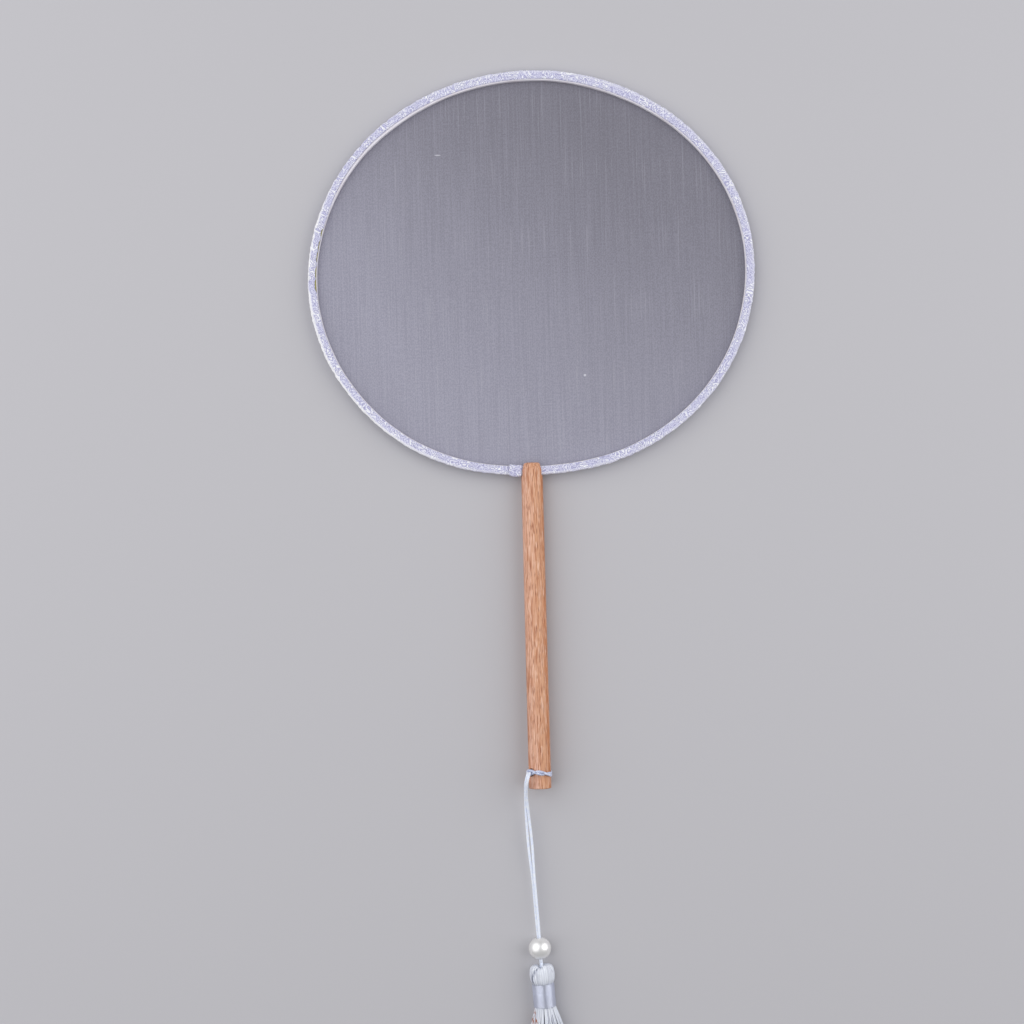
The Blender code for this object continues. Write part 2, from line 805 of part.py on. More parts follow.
joint_place = (handle_side_offset + tassel_joint_offset,
               end_place - middle_place - tassel_joint_drop, bead_radius)
hang = add_empty("tassel_joint", joint_place, (0, 0, hang_angle))
make_strands(materials["cord"])
make_bead(hang, materials["pearl"])
make_cord_end(hang, materials["cord"])
make_threads(hang, materials["tassel"])
make_neck(hang, materials["neck"])

print("rim depth", round(rim_depth / MM, 2), "mm, lean", round(math.degrees(lean), 3), "degrees")
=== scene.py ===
# %% [markdown]
# # A round hand fan, dressed piece by piece
# The frame is a finished model of the fan's construction: where each piece is and how it moves.
# This lesson makes the surfaces on top: woven tape, sheer silk, beech, satin cord, a pearl bead and
# a tassel of loose threads.  Every length is in metres.  Loading the frame comes first, because
# everything after it takes its place from there.

import json
import math
import random

import bpy
import numpy as np
from mathutils import Matrix, Vector, noise


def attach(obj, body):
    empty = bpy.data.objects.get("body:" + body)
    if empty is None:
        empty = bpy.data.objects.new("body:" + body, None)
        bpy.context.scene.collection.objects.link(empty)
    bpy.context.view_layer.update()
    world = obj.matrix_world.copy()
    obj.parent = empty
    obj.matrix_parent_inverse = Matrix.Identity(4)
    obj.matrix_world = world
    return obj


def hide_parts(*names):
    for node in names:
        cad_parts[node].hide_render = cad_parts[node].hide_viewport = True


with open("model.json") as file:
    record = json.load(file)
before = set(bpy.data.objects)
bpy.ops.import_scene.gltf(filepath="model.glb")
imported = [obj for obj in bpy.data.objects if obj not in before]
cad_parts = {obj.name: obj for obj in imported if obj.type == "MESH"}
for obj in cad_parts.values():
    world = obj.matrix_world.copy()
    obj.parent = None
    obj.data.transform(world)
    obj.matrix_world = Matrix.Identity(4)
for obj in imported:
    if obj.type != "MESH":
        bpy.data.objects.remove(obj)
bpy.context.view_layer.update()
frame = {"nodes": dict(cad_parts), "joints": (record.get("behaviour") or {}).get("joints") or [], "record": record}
MM = 0.001

# %% [markdown]
# The fan lies on the shoulder of its handle and on the far edge of its rim, so it leans by about
# one degree.  A piece is easier to model flat, with the middle of the oval at the origin, and is
# then laid on the table by one matrix.  The sawn end of the handle, which the record states, gives
# both the lean and the place.

# %% Lay the fan on the table
end_to_middle = 286.9 * MM
middle_beside_handle = 2.3 * MM
end_face = frame["record"]["mounts"][0]
handle_end = Vector(end_face["pos_m"])
up_the_handle = -Vector(end_face["axis"]).normalized()
lean = math.asin(-up_the_handle.z)
middle = handle_end + up_the_handle * end_to_middle + Vector((middle_beside_handle, 0, 0))
fan_place = Matrix.Translation(middle) @ Matrix.Rotation(-lean, 4, "X")
print("lean", round(math.degrees(lean), 2), "degrees, middle at", [round(v / MM, 2) for v in middle])

# %% [markdown]
# The tassel hangs from its own joint, so it is modelled straight down the -Y axis from that point
# and turned to follow the stretch of cord on which the bead slides.

# %% Place the tassel
slide_way = next(Vector(joint["axis"]) for joint in frame["joints"] if joint["name"] == "bead_slide")
hang_angle = math.atan2(-slide_way.x, slide_way.y)
hang_point = Vector((-4.3, -297.608, 6.3)) * MM
hang_place = Matrix.Translation(hang_point) @ Matrix.Rotation(hang_angle, 4, "Z")
print("tassel turned", round(math.degrees(hang_angle), 2), "degrees")

# %% [markdown]
# The camera looks straight down, a little turned, from a height that shows a sliver of the rim's
# inner wall at the top and none of it at the bottom.

# %% Set up the camera
view_middle = Vector((-13.95, -46.2, 5.0)) * MM
view_width = 571.4 * MM
view_turn = math.radians(-1.506)
camera_height = 1300 * MM


def put(name, data):
    """Put new data into the scene as an object."""
    made = bpy.data.objects.new(name, data)
    bpy.context.scene.collection.objects.link(made)
    return made


camera = put("camera", bpy.data.cameras.new("camera"))
camera.data.lens = camera.data.sensor_width * camera_height / view_width
camera.location = view_middle + Vector((0, 0, camera_height))
camera.rotation_euler = (0, 0, view_turn)
bpy.context.scene.camera = camera
print("lens", round(camera.data.lens, 1), "mm")

# %% [markdown]
# Cords, threads and windings are all tubes along a route.  A curve object with a bevel would do,
# but a tube made in code can carry a braid in its surface, and hundreds of them can share a mesh.
# The route's own points are few and listed, and a smooth curve is read off between them.

# %% Read a smooth route
def read(table, place):
    """Value of a table of pairs at a place, read straight between its entries."""
    return float(np.interp(place, *zip(*table)))


def point_between(before, start, end, after, share):
    """Point between start and end on a smooth curve that passes through all its points."""
    squared = share * share
    cubed = squared * share
    return (before * (-cubed + 2 * squared - share)
            + start * (3 * cubed - 5 * squared + 2)
            + end * (-3 * cubed + 4 * squared + share)
            + after * (cubed - squared)) / 2


def smooth_route(points, step, parts=24):
    """Evenly spaced points along the smooth curve through a few given ones."""
    dense = []
    for index in range(len(points) - 1):
        before = points[max(index - 1, 0)]
        after = points[min(index + 2, len(points) - 1)]
        for part in range(parts):
            dense.append(point_between(before, points[index], points[index + 1], after, part / parts))
    dense.append(points[-1].copy())
    lengths = [0.0]
    for first, second in zip(dense, dense[1:]):
        lengths.append(lengths[-1] + (second - first).length)
    steps = max(2, round(lengths[-1] / step))
    wanted = np.linspace(0, lengths[-1], steps + 1)
    places = np.array(dense)
    axes = [np.interp(wanted, lengths, places[:, axis]) for axis in range(3)]
    return [Vector(place) for place in zip(*axes)]


def route_length(route):
    """Length of a route from point to point."""
    return sum((second - first).length for first, second in zip(route, route[1:]))


def heading(route, index):
    """Direction of a route at one of its points."""
    return (route[min(index + 1, len(route) - 1)] - route[max(index - 1, 0)]).normalized()


def square_to(along, across):
    """The direction across, made square to the direction along."""
    return (across - along * across.dot(along)).normalized()


def about_axis(radius, turn, along):
    """Point around the Y axis, its turn counted from the right towards the top."""
    return Vector((radius * math.cos(turn), along, radius * math.sin(turn)))


# %% Gather points and faces into a piece
class Shape:
    """Points and faces of one piece, with a note at each point for the materials to read."""

    def __init__(self):
        self.points = []
        self.faces = []
        self.notes = []

    def add_rings(self, rings, notes=None, joined=False):
        """Skin a row of rings, each a list of as many points, and close its ends or join them."""
        start = len(self.points)
        sides = len(rings[0])
        count = len(rings)
        for row, ring in enumerate(rings):
            self.points.extend(ring)
            self.notes.extend(notes[row] if notes else [(0.0, 0.0, 0.0)] * sides)
        for row in range(count if joined else count - 1):
            here = start + row * sides
            there = start + (row + 1) % count * sides
            for side in range(sides):
                following = (side + 1) % sides
                self.faces.append((here + side, here + following, there + following, there + side))
        if not joined:
            self.faces.append(tuple(start + side for side in reversed(range(sides))))
            last = start + (count - 1) * sides
            self.faces.append(tuple(last + side for side in range(sides)))

    def add_tube(self, route, radius, sides, tone=0.0):
        """A tube along a route.  The radius is a number or a function of length and turn."""
        across = Vector((0.6, 0.1, 0.8))
        length = 0.0
        rings = []
        notes = []
        for index, point in enumerate(route):
            along = heading(route, index)
            across = square_to(along, across)
            aside = along.cross(across)
            if index:
                length += (point - route[index - 1]).length
            ring = []
            for side in range(sides):
                turn = math.tau * side / sides
                reach = radius(length, turn) if callable(radius) else radius
                ring.append(point + (across * math.cos(turn) + aside * math.sin(turn)) * reach)
            rings.append(ring)
            notes.append([(length, tone, 0.0)] * sides)
        self.add_rings(rings, notes)

    def make(self, name, place, material, body, slot, *nodes):
        """Make a smooth piece that rides on a body and stands for nodes of the frame."""
        mesh = bpy.data.meshes.new(name)
        mesh.from_pydata(self.points, [], self.faces)
        note = mesh.attributes.new("note", "FLOAT_VECTOR", "POINT")
        note.data.foreach_set("vector", np.array(self.notes, dtype=np.float32).ravel())
        mesh.shade_smooth()
        mesh.materials.append(material)
        made = put(name, mesh)
        made.matrix_world = place
        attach(made, body)
        if nodes:
            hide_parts(*nodes)
        print(name, len(mesh.polygons), "faces")
        return made


# %% [markdown]
# A shader is easier to read as sums than as a list of nodes and links.  One small class wraps a
# socket, so that `1 - mask` or `0.3 * grain + 0.7` adds the Math nodes by itself.  Colours are
# mixed by Mix nodes, since a Math node would turn them grey, and one method makes any other node.

# %% Write shader maths as sums
class Number:
    """A socket that carries a number, on which sums can be written."""

    def __init__(self, finish, socket):
        self.finish = finish
        self.socket = socket

    def __add__(self, other):
        return self.finish.maths("ADD", self, other)

    def __sub__(self, other):
        return self.finish.maths("SUBTRACT", self, other)

    def __rsub__(self, other):
        return self.finish.maths("SUBTRACT", other, self)

    def __mul__(self, other):
        return self.finish.maths("MULTIPLY", self, other)

    __radd__ = __add__
    __rmul__ = __mul__


class Finish:
    """One material and the nodes that feed its shader."""

    def __init__(self, name, fixed):
        self.material = bpy.data.materials.new(name)
        self.material.use_nodes = True
        self.nodes = self.material.node_tree.nodes
        self.shader = self.nodes["Principled BSDF"]
        for socket, value in fixed.items():
            self.shader.inputs[socket].default_value = value

    def feed(self, socket, value):
        """Link a socket to another, or set its own value."""
        if isinstance(value, Number):
            self.material.node_tree.links.new(value.socket, socket)
        else:
            socket.default_value = value

    def node(self, kind, settings, sockets, output=0):
        """Add a node: its settings first, then the values or links of its sockets."""
        made = self.nodes.new("ShaderNode" + kind)
        for name, value in settings.items():
            setattr(made, name, value)
        for socket, value in sockets.items():
            self.feed(made.inputs[socket], value)
        return Number(self, made.outputs[output])

    def maths(self, operation, first, second=0.0):
        return self.node("Math", {"operation": operation}, {0: first, 1: second})

    def place(self):
        """Coordinates in the piece's own space."""
        return self.node("TexCoord", {}, {}, "Object")

    def note(self):
        """The note that the shape left at each point."""
        return self.node("Attribute", {"attribute_name": "note"}, {}, "Vector")

    def part(self, vector, axis):
        """One number of a vector."""
        return self.node("SeparateXYZ", {}, {0: vector}, axis)

    def stretched(self, vector, scale):
        """Coordinates with each axis scaled."""
        return self.node("VectorMath", {"operation": "MULTIPLY"}, {0: vector, 1: scale})

    def speckle(self, vector, scale, detail=2.0, roughness=0.5):
        """Cloudy noise from 0 to 1."""
        sockets = {"Vector": vector, "Scale": scale, "Detail": detail, "Roughness": roughness}
        return self.node("TexNoise", {}, sockets)

    def streaks(self, vector, stretch, scale, detail=2.0, roughness=0.5):
        """Cloudy noise drawn out along the axes that are scaled least."""
        return self.speckle(self.stretched(vector, stretch), scale, detail, roughness)

    def step(self, value, low, high):
        """Soft step from 0 at low to 1 at high."""
        sockets = {"Value": value, "From Min": low, "From Max": high}
        return self.node("MapRange", {"interpolation_type": "SMOOTHSTEP"}, sockets)

    def near(self, vector, point, reach):
        """1 at a point, falling to 0 at a distance."""
        away = self.node("VectorMath", {"operation": "DISTANCE"}, {0: vector, 1: point}, "Value")
        return 1 - self.step(away, reach / 2, reach)

    def mix(self, share, first, second):
        """Colour between two, by a share."""
        sockets = {0: share, 6: first, 7: second}
        return self.node("Mix", {"data_type": "RGBA"}, sockets, 2)

    def layers(self, colour, *laid):
        """A colour with others laid over it in turn, each by its share."""
        for share, over in laid:
            colour = self.mix(share, colour, over)
        return colour

    def use(self, socket, value):
        """Feed one of the shader's own sockets."""
        self.feed(self.shader.inputs[socket], value)

    def raise_by(self, height, distance, strength=1.0):
        """Bump the surface by a height from 0 to 1."""
        sockets = {"Height": height, "Distance": distance, "Strength": strength}
        self.use("Normal", self.node("Bump", {}, sockets))


def screen(red, green, blue):
    """Shader colour from the 0 to 255 values seen on a screen."""
    linear = [value / 255 / 12.92 if value <= 10 else ((value / 255 + 0.055) / 1.055) ** 2.4
              for value in (red, green, blue)]
    return (*linear, 1.0)


# %% [markdown]
# The cord is thin round satin braid, pale and slightly blue.  The braid is a shallow relief in the
# mesh, so the finish only adds sheen and a faint unevenness.  A greyer one of the same kind serves
# for the hitch.

# %% Satin cord finish
def cord_finish(name, shaded, bright):
    cord = Finish(name, {"Roughness": 0.34, "Sheen Weight": 0.35, "Sheen Roughness": 0.4})
    place = cord.place()
    wear = cord.step(cord.speckle(place, 900.0, 3.0), 0.3, 0.7)
    cord.use("Base Color", cord.mix(wear, shaded, bright))
    cord.raise_by(cord.streaks(place, (1.0, 0.25, 1.0), 9000.0), 0.03 * MM, 0.5)
    return cord.material


satin_cord = cord_finish("satin_cord", screen(226, 234, 255), screen(242, 247, 255))
greyer_cord = cord_finish("greyer_cord", screen(160, 168, 200), screen(226, 233, 255))

# %% [markdown]
# The doubled cord leaves the hole in the handle, arches over the hitch, comes down on the table
# and runs to the tassel.  A route says where the middle between the two strands is, half their
# distance and their roll about each other.  It is nearly the frame's, apart from the roll over the
# hitch and at the tassel, and from the distance: soft strands press together, so they lie closer
# than the frame's solids may.

# %% Lay the two strands of the cord
cord_diameter = 1.4 * MM
cord_radius = cord_diameter / 2
braid_outer_radius = 0.73 * MM
braid_pitch = 2.6 * MM
braid_strands = 4
braid_relief = 0.06
cord_step = braid_pitch / 8
cord_sides = 20
closeness = 0.88
CORD_ROUTE = (
    (-8.50, -190.98, 14.55, 0.62, 0),
    (-8.50, -190.98, 15.15, 0.62, 6),
    (-8.60, -191.28, 15.90, 0.62, 16),
    (-8.85, -192.00, 16.62, 0.66, 30),
    (-9.22, -193.20, 17.12, 0.74, 44),
    (-9.62, -194.65, 17.10, 0.80, 54),
    (-9.97, -196.10, 16.60, 0.85, 60),
    (-10.20, -197.80, 15.65, 0.85, 62),
    (-10.33, -200.20, 13.95, 0.85, 64),
    (-10.35, -203.40, 11.90, 0.85, 62),
    (-10.25, -207.60, 9.95, 0.85, 48),
    (-10.00, -212.60, 8.45, 0.90, 28),
    (-9.60, -218.60, 7.45, 1.00, 10),
    (-9.12, -225.60, 6.80, 1.20, 2),
    (-8.60, -233.00, 6.45, 1.25, 6),
    (-8.05, -241.00, 6.32, 1.05, 20),
    (-7.51, -248.50, 6.30, 0.86, 36),
    (-7.08, -254.50, 6.30, 0.85, 45),
    (-6.37, -265.70, 6.30, 0.85, 45),
    (-5.62, -277.60, 6.30, 0.85, 48),
    (-4.85, -289.80, 6.30, 0.85, 62),
    (-4.39, -297.25, 6.30, 0.85, 70),
)


def braided(length, turn):
    """Radius of the cord with the crossing strands of its braid standing a little proud."""
    along = math.tau * length / braid_pitch
    crossing = max(math.cos(braid_strands * turn + along), math.cos(braid_strands * turn - along))
    return braid_outer_radius * (1 - braid_relief * (0.5 - 0.5 * crossing))


def cord_tube(points):
    """A length of cord through a few points, with its route."""
    route = smooth_route(points, cord_step)
    tube = Shape()
    tube.add_tube(route, braided, cord_sides)
    return tube, route


def strand_points(side):
    """Points of one strand of the doubled cord, which starts upright over the hitch's end."""
    middles = [Vector(entry[:3]) * MM for entry in CORD_ROUTE]
    points = []
    for index, entry in enumerate(CORD_ROUTE):
        half = entry[3] * MM * closeness
        roll = math.radians(entry[4])
        along = heading(middles, index)
        across = square_to(along, Vector((1, 0, 0)))
        offset = across * math.cos(roll) + along.cross(across) * math.sin(roll)
        points.append(middles[index] + offset * (side * half))
    return points


strands = {}
for strand_name, strand_side in (("left", -1), ("right", 1)):
    tube, route = cord_tube(strand_points(strand_side))
    strand = tube.make("cord_" + strand_name, Matrix(), satin_cord, "cord", "cord",
                       "cord_strand_" + strand_name)
    strands[strand_name] = (strand, route)
    print("strand", strand_name, round(route_length(route) / MM, 1), "mm")

# %% [markdown]
# At the handle the cord goes through a slanting hole, round the right side and over the front,
# and its own two strands come out through the loop: a lark's head.  Over the front the two sides
# of the loop turn about each other like a rope, a little aslant, because the hand that tied it
# pulled it down at the right.  Soft cord flattens where it is pulled tight round the wood, so its
# points are moved closer there, and none stays inside the wood.

# %% Tie the cord to the handle
handle_end_radius = 6.2 * MM
hole_from_end = 9.3 * MM
hole_slant = math.radians(51.0)
strand_spacing = 1.6 * MM
loop_spacing = 1.35 * MM
wrap_height = 0.95 * MM
spacing_turn = 1.7 * MM / (handle_end_radius + wrap_height)
front_mouth = math.pi / 2 + hole_slant
back_mouth = front_mouth - math.pi
free_end_shares = ((-0.970, 0.860, 0.0), (-0.955, 0.805, 0.2), (-0.895, 0.715, 0.55))
in_hole_shares = (0.80, 0.45, 0.0, -0.45, -0.80)
back_mouth_shares = ((0.26, 0.14, 0.9), (0.96, 0.86, 1.0), (1.77, 1.0, 1.0))
noose_shares = ((-1.30, 0.65), (-0.80, 0.86), (0.0, 1.06), (0.60, 1.02), (1.15, 0.80), (1.46, 0.42))
noose_end_share = 1.59
wrap_start = math.radians(1.0)
wrap_end = math.radians(111.0)
wrap_steps = 20
twist_of_wrap = ((0.0, 360), (0.30, 330), (0.55, 270), (0.8, 180), (1.0, 90))
twist_lift = 0.45 * MM
slant_of_wrap = ((-40, 0.0), (-25, -0.45), (-10, -0.9), (5, -1.2), (30, -1.35), (59, -0.85), (90, -0.1),
                 (111, 0.35), (128, 0.15), (141, 0.0))
height_of_wrap = ((-40, 0.80), (-20, 0.55), (0, 0.50), (30, 0.55), (60, 0.72), (90, 0.85), (141, 0.95))
squeeze_of_wrap = ((-60, 0.6), (20, 0.6), (65, 1.0))
clear_of_wood = 0.2 * MM
least_above_wood = 0.04 * MM


def wrap_slant(turn):
    """How far the wrap lies up or down the handle at a turn."""
    return read(slant_of_wrap, math.degrees(turn)) * MM


def wrap_radius(turn):
    """Distance of the wrap from the handle's middle at a turn, least where it is pulled tight."""
    return handle_end_radius + read(height_of_wrap, math.degrees(turn)) * MM


def hitch_side(side):
    """One strand of the hitch, from its free end through the hole and round to the bight."""
    half = strand_spacing / 2
    points = []
    for across_share, up_share, bend_share in free_end_shares:
        place = Vector((across_share * handle_end_radius, 0, up_share * handle_end_radius))
        points.append(place + about_axis(side * half, hole_slant * bend_share, 0))
    across = Vector((math.sin(front_mouth), 0, -math.cos(front_mouth)))
    for index, share in enumerate(in_hole_shares):
        roll = math.pi / 2 * index / (len(in_hole_shares) - 1)
        place = about_axis(share * handle_end_radius, front_mouth, side * half * math.sin(roll))
        points.append(place + across * (side * half * math.cos(roll)))
    aside = side * loop_spacing / 2
    for turn_share, height_share, aside_share in back_mouth_shares:
        turn = back_mouth + spacing_turn * turn_share
        radius = handle_end_radius + (wrap_radius(turn) - handle_end_radius) * height_share
        points.append(about_axis(radius, turn, wrap_slant(turn) * height_share + aside * aside_share))
    for step in range(wrap_steps + 1):
        share = step / wrap_steps
        turn = wrap_start + (wrap_end - wrap_start) * share
        twist = math.radians(read(twist_of_wrap, share))
        radius = wrap_radius(turn) + twist_lift * abs(math.sin(twist)) + aside * math.sin(twist)
        points.append(about_axis(radius, turn, wrap_slant(turn) + aside * math.cos(twist)))
    for turn_share, wide in noose_shares:
        turn = front_mouth + spacing_turn * turn_share
        points.append(about_axis(wrap_radius(turn), turn, wrap_slant(turn) + side * wide * MM))
    return points


def press_to_wood(tube, route):
    """Flatten a tube where it lies on the handle."""
    for index, point in enumerate(tube.points):
        centre = route[index // cord_sides]
        if math.hypot(centre.x, centre.z) > handle_end_radius + clear_of_wood:
            reach = math.hypot(point.x, point.z)
            squeeze = read(squeeze_of_wrap, math.degrees(math.atan2(point.z, point.x)))
            above_wood = max(least_above_wood, (reach - handle_end_radius) * squeeze)
            point.x *= (handle_end_radius + above_wood) / reach
            point.z *= (handle_end_radius + above_wood) / reach


hole_place = fan_place @ Matrix.Translation((-middle_beside_handle, hole_from_end - end_to_middle, 0))
bight_turn = front_mouth + spacing_turn * noose_end_share
bight = about_axis(wrap_radius(bight_turn), bight_turn, 0)
hitch_tube, hitch_route = cord_tube(hitch_side(1) + [bight] + list(reversed(hitch_side(-1))))
press_to_wood(hitch_tube, hitch_route)
hitch_tube.make("cord_hitch", hole_place, greyer_cord, "fan", "cord", "hitch_loop")
print("hitch", round(route_length(hitch_route) / MM, 1), "mm")

# %% [markdown]
# The cord ends as a small loop inside the tassel's head, where it holds the folded threads.  Only
# its first millimetre shows, but the rest is there, as on the real one.

# %% End the cord in the tassel
head_start = -1.15 * MM
head_bore_depth = 5.0 * MM
seat_gap = 0.3 * MM
joint_gap = 0.7 * MM
end_overlap = 0.5 * MM
end_turn_steps = 6
end_roll = math.radians(70)
end_half = 0.85 * MM * closeness
end_across = about_axis(1, end_roll, 0)
end_top = end_overlap - joint_gap / 2
end_straight = seat_gap + cord_radius + head_start - head_bore_depth + end_half
end_side = [Vector((0, end_top, 0)), Vector((0, (end_top + end_straight) / 2, 0))]
end_points = [end_across * end_half + point for point in end_side]
for step in range(end_turn_steps + 1):
    turn = math.pi * step / end_turn_steps
    drop = Vector((0, end_straight - end_half * math.sin(turn), 0))
    end_points.append(end_across * (end_half * math.cos(turn)) + drop)
end_points += [end_across * -end_half + point for point in reversed(end_side)]
end_tube, _ = cord_tube(end_points)
cord_end = end_tube.make("cord_end", hang_place, satin_cord, "tassel", "cord", "cord_end_loop")

# %% [markdown]
# The handle is turned beech, sanded but not varnished: a pinkish ground with tan streaks along the
# grain, many short flecks, dark and pale, a paler pink on the left, which is partly the wood's tone
# and partly a painted sheen from the light at the left, and a deeper orange at both sides, which is
# partly the wood and partly painted shade where the round stick turns away from the light.
# Stretched noise gives streaks and flecks, each at its own scale.  The frame's handle already has
# the right shape, with its slot and its slanting hole, so it stays and only gets this finish.

# %% Beech finish
def beech_finish():
    wood = Finish("beech", {"Specular IOR Level": 0.5})
    place = wood.place()
    streak = wood.step(wood.streaks(place, (1, 0.02, 1), 300.0, 3.0), 0.40, 0.60)
    grain = wood.streaks(place, (1, 0.035, 1), 1700.0, 2.0, 0.6)
    pores = wood.step(wood.streaks(place, (1, 0.08, 1), 2200.0, 1.0), 0.57, 0.68)
    rays = wood.step(wood.streaks(place, (1, 0.07, 1), 1800.0, 1.0), 0.56, 0.68)
    # Across the stick: paler pink on the left, partly the wood's tone and partly a painted sheen, and deeper
    # orange at both sides, partly the wood and partly painted shade.
    across = wood.part(place, "X") + 0.002 * streak
    pale_tone_and_sheen = 1 - wood.step(across, -5.5 * MM, 1.5 * MM)
    edge = (1 - wood.step(across, -8.3 * MM, -6.1 * MM)) + wood.step(across, 2.9 * MM, 4.9 * MM)
    wood.use("Base Color", wood.layers(
        screen(212, 158, 122), (pale_tone_and_sheen, screen(228, 180, 159)), (0.40 * streak, screen(210, 150, 112)),
        (0.75 * edge, screen(190, 116, 66)), (0.9 * wood.step(grain, 0.46, 0.66), screen(178, 112, 74)),
        (0.65 * rays, screen(242, 202, 178)), (0.70 * pores, screen(142, 78, 46))))
    wood.use("Roughness", 0.34 + 0.2 * grain)
    wood.raise_by(grain - 0.6 * pores, 0.05 * MM, 0.6)
    return wood.material


def refinish(node, material):
    """Give a kept piece of the frame a material."""
    piece = frame["nodes"][node]
    piece.data.materials.clear()
    piece.data.materials.append(material)
    print(node, "keeps its shape,", len(piece.data.polygons), "faces")


refinish("handle", beech_finish())

# %% [markdown]
# The hoop is a strip of split bamboo bent into an oval.  Silk covers its back and tape its outside
# and both edges, so it shows only as a thin yellow-green line where the tape is drawn back.  Its
# colours are painted darker than bamboo, as painted shade of the narrow gap it shows in.  The fibres
# run along the strip, and noise that is pressed flat in height serves for them.

# %% Bamboo finish
def bamboo_finish():
    strip = Finish("split_bamboo", {"Specular IOR Level": 0.4})
    place = strip.place()
    fibre = strip.streaks(place, (1, 1, 6), 700.0, 3.0)
    # These colours are painted darker than bamboo: painted shade of the narrow gap where it shows.
    strip.use("Base Color", strip.layers(
        screen(150, 146, 86), (fibre, screen(190, 184, 124)),
        (0.5 * strip.speckle(place, 90.0), screen(164, 150, 92))))
    strip.use("Roughness", 0.45 + 0.15 * fibre)
    strip.raise_by(fibre, 0.04 * MM, 0.4)
    return strip.material


refinish("hoop", bamboo_finish())

# %% [markdown]
# Everything on the rim follows one outline: an ellipse, turned a little against the handle and
# pressed slightly flat where the handle holds it.  The hoop was bent by hand, so it also runs up to
# a millimetre outside or inside a true ellipse at three places.  A point on it is found by its
# angle, and a piece is swept along it with a small section.

# %% Follow the oval
oval_half_width = 125.0 * MM
oval_half_height = 113.7 * MM
oval_skew = math.radians(3.7)
oval_flattening = 1.2 * MM
oval_flat_half_angle = math.radians(30)
RIM_SWELLS = ((160, 50, -0.7), (234, 28, 0.7), (313, 44, 1.0))
rim_steps = 1440


def bump_at(angle, middle, reach):
    """1 at an angle in degrees, falling smoothly to 0 at a reach."""
    away = (math.degrees(angle) - middle + 180) % 360 - 180
    return math.cos(math.pi / 2 * away / reach) ** 2 if abs(away) < reach else 0.0


def oval_outline(angle):
    """Point of the rim's outer outline, from the angle to the oval's long axis."""
    across = oval_half_width * math.cos(angle)
    up = oval_half_height * math.sin(angle)
    point = Matrix.Rotation(oval_skew, 3, "Z") @ Vector((across, up, 0))
    swell = sum(distance * bump_at(angle, middle, reach) for middle, reach, distance in RIM_SWELLS)
    point += point.normalized() * (swell * MM)
    from_bottom = math.atan2(point.x, -point.y)
    if abs(from_bottom) < oval_flat_half_angle:
        share = math.cos(math.pi / 2 * from_bottom / oval_flat_half_angle) ** 2
        point.y += oval_flattening * share
    return point


def rim_frame(angle, either_way=0.001):
    """Point of the outline with its inward direction."""
    along = (oval_outline(angle + either_way) - oval_outline(angle - either_way)).normalized()
    return oval_outline(angle), Vector((-along.y, along.x, 0))


def rim_angle_at(side):
    """Angle of the lower half of the outline at a distance beside the oval's middle."""
    low, high = math.pi, math.tau
    for _ in range(50):
        half = (low + high) / 2
        if oval_outline(half).x < side:
            low = half
        else:
            high = half
    return (low + high) / 2


def rim_wave(angle, scale, seed):
    """Smooth unevenness around the rim, from about -1 to 1, that closes on itself."""
    place = Vector((math.cos(angle), math.sin(angle), 0)) * scale
    return 2 * noise.noise(place + Vector((seed, 1.7 * seed, 0.6 * seed)))


def sweep(angles, section, joined):
    """Skin a section along the outline.  The section gives inset, height and note at an angle."""
    rings = []
    notes = []
    along = 0.0
    last = None
    for angle in angles:
        point, inward = rim_frame(angle)
        if last is not None:
            along += (point - last).length
        last = point
        places = section(angle)
        rings.append([point + inward * inset + Vector((0, 0, height)) for inset, height, _ in places])
        notes.append([(along, across, angle) for _, _, across in places])
    swept = Shape()
    swept.add_rings(rings, notes, joined)
    return swept, along


all_round = [math.tau * step / rim_steps for step in range(rim_steps)]
print("outline", round(route_length([oval_outline(angle) for angle in all_round]) / MM, 1), "mm round")

# %% [markdown]
# The edging tape is jacquard: a matt lavender ground with small raised curls in a brighter thread.
# A darker line round each curl is painted shade in the furrow beside it, and darker lines along the
# bias are woven in.  Such a pattern can be drawn from the contour lines of warped noise: they close
# on themselves, branch and never repeat, as scrolls do.  The coordinates are the note left at each
# point, length along the tape and distance across it, so the pattern folds over the edge with the
# cloth.  The note's third number is the angle, and along the outer fold the tape is painted paler, a
# painted highlight that is strongest at the left, where the light comes from.

# %% Jacquard finish
curl_bend = 2.2 * MM
curl_lines = 32.0
bias_spacing = 1.7 * MM
weft_spacing = 0.32 * MM


